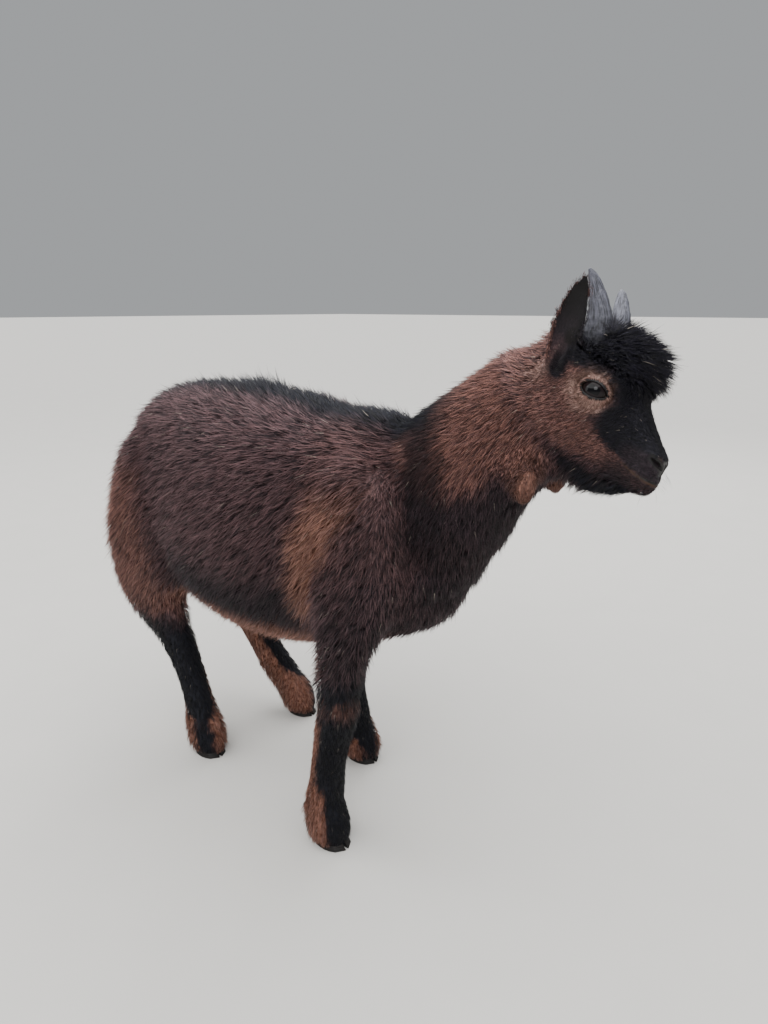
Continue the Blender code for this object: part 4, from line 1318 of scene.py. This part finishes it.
class GoatColours(bpy.types.PropertyGroup):
    brown_root: tint("Brown root", "Ground colour of the coat near the skin", "#150e14")
    brown_tip: tint("Brown tip", "Ground colour at the hair tips", "#967274")
    black_root: tint("Black root", "Black markings near the skin", "#040407")
    # the hair's own black, tinted blue at the tips as a painted sky reflection
    black_tip: tint("Black tip", "Black markings at the hair tips", "#15182b")
    tan_root: tint("Tan root", "Tan markings near the skin", "#55301f")
    tan_tip: tint("Tan tip", "Tan markings at the hair tips", "#e6ab96")
    red_root: tint("Red root", "Red-brown areas near the skin", "#372321")
    red_tip: tint("Red tip", "Red-brown areas at the hair tips", "#d69a8a")
    pale_root: tint("Pale root", "Ring round the eye near the skin", "#7c5c52")
    pale_tip: tint("Pale tip", "Ring round the eye at the hair tips", "#f2d4c6")
    dust: tint("Dust", "Specks of hay dust in the coat", "#b9aea0")
    leather: tint("Leather", "Bare nose and lid rims", "#0e0c0c")
    lip: tint("Lip", "Lip edge", "#412d21")
    ear_skin: tint("Ear skin", "Hollow of the ear", "#0d0908")
    ear_deep: tint("Deep ear", "Depth of the ear", "#040303")
    iris: tint("Iris", "Fibres of the iris", "#1b1416")
    iris_dark: tint("Dark iris", "Ground of the iris", "#0f0b0b")
    pupil: tint("Pupil", "Pupil", "#050507")
    sclera: tint("Sclera", "Dark edge of the eyeball", "#120d0b")
    horn: tint("Horn", "Clean horn", "#5a5b67")
    horn_dark: tint("Horn streak", "Darker streaks along the horn", "#15161c")
    horn_base: tint("Horn base", "Fresh growth at the foot of the horn", "#17171d")
    horn_dust: tint("Horn dust", "Scaly pale bloom on the horn", "#7c7d86")
    hoof: tint("Hoof", "Hoof wall", "#0b0908")
    hoof_worn: tint("Worn hoof", "Dry scuffs on the hoof wall", "#1c1715")


class GoatSkin(bpy.types.PropertyGroup):
    voxel: measure("Voxel", "Grid that fuses the flesh into one skin", 1.7 * MM)
    overlap: measure("Overlap", "How far the flesh grows to close the saw cuts", 0.5 * MM)
    triangles: bpy.props.IntProperty(
        name="Triangles",
        description="Size of the skin before the face is refined",
        default=105000,
        min=1000,
    )


class GoatCoat(bpy.types.PropertyGroup):
    fullness: bpy.props.FloatProperty(
        name="Fullness",
        description="Share of the full count of tufts",
        default=1.0,
        min=0.01,
        max=1.0,
    )
    seed: bpy.props.IntProperty(name="Seed", description="Start of the random draws", default=7, min=0)


class GoatStage(bpy.types.PropertyGroup):
    floor_colour: tint("Floor", "Colour of the studio floor", "#a9a7a3")
    camera_place: bpy.props.FloatVectorProperty(
        name="Camera",
        description="Where the camera stands",
        default=(0.4539, -0.4346, 0.426),
        unit="LENGTH",
    )
    azimuth: bpy.props.FloatProperty(
        name="Azimuth",
        description="Turn of the view, 0 looking along +Y",
        default=math.radians(42),
        subtype="ANGLE",
    )
    fall: bpy.props.FloatProperty(
        name="Fall",
        description="Angle of the view below level",
        default=math.radians(15),
        subtype="ANGLE",
    )
    lens: bpy.props.FloatProperty(
        name="Lens", description="Focal length", default=27.04, min=1, unit="CAMERA"
    )


# ---------------------------------------------------------------- pieces


def skin_shares(mesh):
    """Each point's share of each region, as kept on the skin."""
    return np.column_stack([stored(mesh, "region_a"), stored(mesh, "region_b")])


def shape_head(web, share):
    """Evens the face and gives it its eyelids, nostrils, mouth and ear cups."""
    part = by_region(share)
    face = ramp(to_head(web.points)[:, 0], -20, -8) * part["head"]
    web.place(web.spread(web.points, 5, 0.5 * face))
    web.place(from_head(shape_eyelids(to_head(web.points))))
    shaped = shape_face(to_head(web.points), web.normals() @ HEAD_AXES)
    on_head = (part["head"] + part["ear"] > 0.5)[:, None]
    web.place(np.where(on_head, from_head(shaped), web.points))


def unwrap_skin(obj):
    """Flattens the skin into the map that each tuft takes its place from."""
    while obj.data.uv_layers:
        obj.data.uv_layers.remove(obj.data.uv_layers[0])
    obj.data.uv_layers.new(name="OFBake")
    bpy.ops.object.select_all(action="DESELECT")
    obj.select_set(True)
    bpy.context.view_layer.objects.active = obj
    bpy.ops.object.mode_set(mode="EDIT")
    bpy.ops.mesh.select_all(action="SELECT")
    bpy.ops.uv.smart_project(angle_limit=math.radians(66), island_margin=0.002)
    bpy.ops.object.mode_set(mode="OBJECT")


class GOAT_OT_skin(bpy.types.Operator):
    """One skin over head, neck, trunk, tail, ears and legs, shaped at eyes, nose and mouth"""

    bl_idname = "goat.skin"
    bl_label = "Skin"

    def execute(self, context):
        settings = context.scene.goat_skin
        obj = fused_flesh(settings.voxel, settings.overlap)
        web = Web(obj.data)
        share = region_shares(web)
        store(obj.data, "depth", settle_under_coat(web, share, settings.overlap))
        store(obj.data, "region_a", share[:, :4])
        store(obj.data, "region_b", share[:, 4:])
        thin_body(obj, share, settings.triangles)
        refine_face(obj.data)

        web = Web(obj.data)
        share = skin_shares(obj.data)
        shape_head(web, share)
        normals = web.normals()
        marks = skin_marks(web.points, normals, share)
        bare = bare_skin(web.points, normals, share)
        shape = coat_shape(web.points, normals, share, stored(obj.data, "depth"), marks, bare)
        store(obj.data, "coat_marks", marks)
        store(obj.data, "bare_skin", bare)
        store(obj.data, "lie", lie_of_coat(web.points, normals, share))
        store(obj.data, "hair_size", shape[:, :3])
        store(obj.data, "hair_spread", shape[:, 3:])
        unwrap_skin(obj)
        finished(obj, skin_material(context.scene.goat_colours), FLESH)
        return {"FINISHED"}


COAT_PIECES = [
    # name, slot, tufts, tufts a clump
    ("coat_face", "brown_coat", 33000, 5),
    ("coat_crown", "dark_coat", 27000, 6),
    ("coat_neck", "brown_coat", 30000, 4),
    ("coat_flank_fore_right", "brown_coat", 28500, 4),
    ("coat_flank_fore_left", "brown_coat", 26000, 4),
    ("coat_flank_hind_right", "brown_coat", 28500, 4),
    ("coat_flank_hind_left", "brown_coat", 26000, 4),
    ("coat_fore_legs", "dark_coat", 25000, 6),
    ("coat_hind_legs", "dark_coat", 22000, 6),
]


class GOAT_OT_coat(bpy.types.Operator):
    """The coat: tufts of hair over the skin, one piece for each part of the body"""

    bl_idname = "goat.coat"
    bl_label = "Coat"

    def execute(self, context):
        settings = context.scene.goat_coat
        mesh = bpy.data.objects["skin"].data
        corners, loops, area = triangles_of(mesh)
        skin = {
            "corners": corners,
            "loops": loops,
            "area": area,
            "points": read(mesh.vertices, "co", 3),
            "normals": read(mesh.vertices, "normal", 3),
            "unwrap": read(mesh.uv_layers["OFBake"].data, "uv", 2),
            "lie": stored(mesh, "lie"),
            "shape": np.column_stack([stored(mesh, "hair_size"), stored(mesh, "hair_spread")]),
            "marks": stored(mesh, "coat_marks"),
        }
        hair = hair_material(context.scene.goat_colours)
        areas = coat_areas(skin["points"], skin_shares(mesh))
        for number, (name, slot, count, per_clump) in enumerate(COAT_PIECES):
            rng = np.random.default_rng(settings.seed + number)
            rows = tuft_rows(skin, areas[name], int(count * settings.fullness), per_clump, rng)
            finished(shown(name, tuft_mesh(name, *rows)), hair)
        return {"FINISHED"}


def lash_rows(mesh, rng):
    """Root, bend, tip and half width of the upper lashes and of the whiskers on lips and chin."""
    rows = []
    points = to_head(read(mesh.vertices, "co", 3))
    normals = read(mesh.vertices, "normal", 3) @ HEAD_AXES
    forward, out, up = folded(points).T
    whiskered = (forward > 44) & (up < -17) & (up > -40) & (out > 3)
    for place in rng.choice(np.nonzero(whiskered)[0], WHISKERS, replace=False):
        ahead = unit(normals[place] + rng.normal(0, 0.15, 3) + (0.35, 0, -0.35))
        reach = rng.uniform(6, 13)
        bend = points[place] + ahead * reach * 0.45
        rows.append((points[place], bend, bend + unit(ahead + (-0.1, 0, -0.3)) * reach * 0.55, 0.055))
    for _, side in SIDES:
        centre, ahead, over, axis = eye_axes(side)
        for turn in np.radians(np.linspace(14, 168, LASHES)):
            x, y = LID_HALF_LONG * math.cos(turn), LID_HALF_UP * math.sin(turn) + 0.25
            height = math.sqrt((EYEBALL + LID_THICK) ** 2 - x * x - y * y)
            root = centre + x * ahead + y * over + height * axis
            fan = rng.normal(0, 0.07, 3) + axis + 0.08 * over + 0.35 * math.cos(turn) * ahead
            reach = rng.uniform(4.2, 6.0) * (0.7 + 0.3 * math.sin(turn))
            bend = root + unit(fan) * reach * 0.45
            rows.append((root, bend, bend + unit(fan - 0.4 * over) * reach * 0.55, 0.1))
    root, bend, tip, width = (np.array(column) for column in zip(*rows))
    return from_head(root), from_head(bend), from_head(tip), width * MM


class GOAT_OT_lashes(bpy.types.Operator):
    """Upper eyelashes and the short whiskers of lips and chin"""

    bl_idname = "goat.lashes"
    bl_label = "Lashes and whiskers"

    def execute(self, context):
        mesh = bpy.data.objects["skin"].data
        root, bend, tip, width = lash_rows(mesh, np.random.default_rng(LASH_SEED))
        surface = surface_of(mesh)
        flat = read(mesh.uv_layers["OFBake"].data, "uv", 2)
        spot = np.array([flat[mesh.polygons[surface.find_nearest(p)[2]].loop_start] for p in root])
        marks, hue = np.tile((1.0, 0, 0, 0), (len(root), 1)), np.zeros((len(root), 2))
        hairs = tuft_mesh("lashes", root, bend, tip, width, spot, marks, hue)
        finished(shown("lashes", hairs), lash_material(context.scene.goat_colours))
        return {"FINISHED"}


class GOAT_OT_eyes(bpy.types.Operator):
    """Two eyeballs with a raised cornea, seated behind the lids"""

    bl_idname = "goat.eyes"
    bl_label = "Eyes"

    def execute(self, context):
        mat = eye_material(context.scene.goat_colours)
        for word, side in SIDES:
            centre, forward, up, out = eye_axes(side)
            bm = bmesh.new()
            bmesh.ops.create_uvsphere(bm, u_segments=56, v_segments=40, radius=1.0)
            local = np.array([v.co for v in bm.verts])
            lean = np.degrees(np.arccos(np.clip(local[:, 2], -1, 1)))
            cornea = CORNEA_RISE * np.clip(1 - (lean / CORNEA_EDGE) ** 2, 0, 1) ** 1.5
            points = local * (1 + cornea)[:, None] * EYEBALL
            placed = from_head(centre + points @ np.array([forward, up, out]))
            for vertex, point in zip(bm.verts, placed):
                vertex.co = point
            bm.normal_update()
            bmesh.ops.recalc_face_normals(bm, faces=bm.faces)
            mesh = mesh_of(bm, f"eyeball_{word}")
            store(mesh, "gaze", local)
            finished(shown(f"eyeball_{word}", mesh), mat, [f"eye_{word}"])
        return {"FINISHED"}


def horn_rings(side):
    """For each step up a horn: how far up it is, 0 to 1, and a ring of points round it."""
    rows = catmull(HORN_LINE, HORN_STEPS)
    centres = rows[:, :3] * (1, side, 1)
    turn = horn_turn()
    flute = 1 + 0.022 * np.sin(turn * 5 + side) + 0.012 * np.sin(turn * 11)
    for k, (row, centre, tangent) in enumerate(zip(rows, centres, unit(np.gradient(centres, axis=0)))):
        share = k / (len(rows) - 1)
        ridged = 1 + 0.035 * math.sin(k * 1.9) * (1 - share) + 0.02 * math.sin(k * 0.83 + side)
        beside = unit(np.cross(tangent, (1.0, 0, 0.4)))
        ahead = np.cross(beside, tangent)
        ring = centre + np.outer(np.cos(turn) * row[3] * ridged * flute, beside)
        ring = ring + np.outer(np.sin(turn) * row[4] * ridged * flute, ahead)
        yield share, from_head(ring)


def horn_turn():
    """The angles of the points of a ring."""
    return np.linspace(0, 2 * math.pi, HORN_AROUND, endpoint=False)


class GOAT_OT_horns(bpy.types.Operator):
    """Two short horns, ringed and rough, curving back"""

    bl_idname = "goat.horns"
    bl_label = "Horns"

    def execute(self, context):
        mat = horn_material(context.scene.goat_colours)
        for word, side in SIDES:
            bm = bmesh.new()
            grown = []
            loop = None
            for share, ring in horn_rings(side):
                verts = [bm.verts.new(point) for point in ring]
                grown += [(share, math.cos(turn), math.sin(turn)) for turn in horn_turn()]
                edges = [bm.edges.new(pair) for pair in zip(verts, verts[1:] + verts[:1])]
                if loop:
                    bmesh.ops.bridge_loops(bm, edges=loop + edges)
                else:
                    bm.faces.new(verts)
                loop = edges
            bm.faces.new(verts)
            bmesh.ops.recalc_face_normals(bm, faces=bm.faces)
            mesh = mesh_of(bm, f"horn_sheath_{word}")
            store(mesh, "growth", np.array(grown))
            finished(shown(f"horn_sheath_{word}", mesh), mat, [f"horn_{word}"])
        return {"FINISHED"}


class GOAT_OT_hooves(bpy.types.Operator):
    """Cloven hooves and dewclaws, with worn edges"""

    bl_idname = "goat.hooves"
    bl_label = "Hooves"

    def execute(self, context):
        mat = hoof_material(context.scene.goat_colours)
        for leg in LEGS:
            bm = bmesh.new()
            for node in HOOF_NODES[leg]:
                add_copy(bm, node, 0)
            flat = math.radians(1)
            bmesh.ops.dissolve_limit(bm, angle_limit=flat, verts=bm.verts, edges=bm.edges)
            bm.normal_update()
            edges = [edge for edge in bm.edges if len(edge.link_faces) == 2]
            bmesh.ops.bevel(
                bm,
                geom=[edge for edge in edges if edge.calc_face_angle() > HOOF_CRISP],
                offset=HOOF_WEAR,
                affect="EDGES",
                segments=2,
                profile=0.5,
                material=-1,
                clamp_overlap=True,
            )
            bmesh.ops.triangulate(bm, faces=bm.faces)
            obj = shown(f"hoof_{leg}", mesh_of(bm, f"hoof_{leg}"))
            finished(obj, mat, HOOF_NODES[leg])
        return {"FINISHED"}


LAMPS = [
    # name, place, size, watts
    ("key", (1.1, -1.5, 1.4), 1.1, 24),
    ("fill", (-1.5, -1.0, 0.9), 1.2, 9),
    ("rim", (-0.6, 1.5, 1.3), 1.0, 16),
]
LAMPS_AIM = Vector((0, 0, 0.22))
FLOOR_HALF = 30.0


class GOAT_OT_stage(bpy.types.Operator):
    """Pale floor, soft studio light and the camera"""

    bl_idname = "goat.stage"
    bl_label = "Stage"

    def execute(self, context):
        scene, settings = context.scene, context.scene.goat_stage
        bm = bmesh.new()
        bmesh.ops.create_grid(bm, x_segments=1, y_segments=1, size=FLOOR_HALF)
        mesh = mesh_of(bm, "floor")
        mesh.materials.append(floor_material(settings))
        shown("floor", mesh)

        world = bpy.data.worlds.new("studio")
        world.use_nodes = True
        air = {"Color": linear("#e4e7ea"), "Strength": 0.5}
        set_inputs(world.node_tree, world.node_tree.nodes["Background"], air)
        scene.world = world

        # a very wide sun stands for an even overhead light panel
        sun = bpy.data.lights.new("sky", "SUN")
        sun.energy = 8.0
        sun.angle = math.radians(110)
        overhead = shown("sky", sun)
        overhead.rotation_euler = (math.radians(8), math.radians(-6), 0)
        for name, place, width, power in LAMPS:
            lamp = bpy.data.lights.new(name, "AREA")
            lamp.shape = "DISK"
            lamp.energy = power
            lamp.size = width
            obj = shown(name, lamp)
            obj.location = place
            obj.rotation_mode = "QUATERNION"
            obj.rotation_quaternion = (LAMPS_AIM - Vector(place)).to_track_quat("-Z", "Y")

        view = bpy.data.cameras.new("camera")
        view.lens = settings.lens
        view.clip_start = 0.01
        camera = shown("camera", view)
        camera.location = settings.camera_place
        camera.rotation_euler = (math.pi / 2 - settings.fall, 0, settings.azimuth)
        scene.camera = camera
        return {"FINISHED"}


class GOAT_PT_build(bpy.types.Panel):
    """Builds each piece of the goat in turn"""

    bl_label = "Goat"
    bl_idname = "GOAT_PT_build"
    bl_space_type = "VIEW_3D"
    bl_region_type = "UI"
    bl_category = "Goat"

    def draw(self, context):
        for name in ("goat_skin", "goat_coat", "goat_colours", "goat_stage"):
            group = getattr(context.scene, name)
            box = self.layout.box()
            for key in group.__annotations__:
                box.prop(group, key)
        for step in STEPS:
            self.layout.operator(step.bl_idname)


STEPS = (
    GOAT_OT_skin,
    GOAT_OT_eyes,
    GOAT_OT_horns,
    GOAT_OT_hooves,
    GOAT_OT_coat,
    GOAT_OT_lashes,
    GOAT_OT_stage,
)
GROUPS = {
    "goat_skin": GoatSkin,
    "goat_coat": GoatCoat,
    "goat_colours": GoatColours,
    "goat_stage": GoatStage,
}


def register():
    for cls in (*GROUPS.values(), *STEPS, GOAT_PT_build):
        bpy.utils.register_class(cls)
    for name, group in GROUPS.items():
        setattr(bpy.types.Scene, name, bpy.props.PointerProperty(type=group))


def unregister():
    for name in GROUPS:
        delattr(bpy.types.Scene, name)
    for cls in reversed((*GROUPS.values(), *STEPS, GOAT_PT_build)):
        bpy.utils.unregister_class(cls)


def main():
    register()
    for step in STEPS:
        module, name = step.bl_idname.split(".")
        getattr(getattr(bpy.ops, module), name)()
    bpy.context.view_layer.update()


if __name__ == "__main__":
    main()
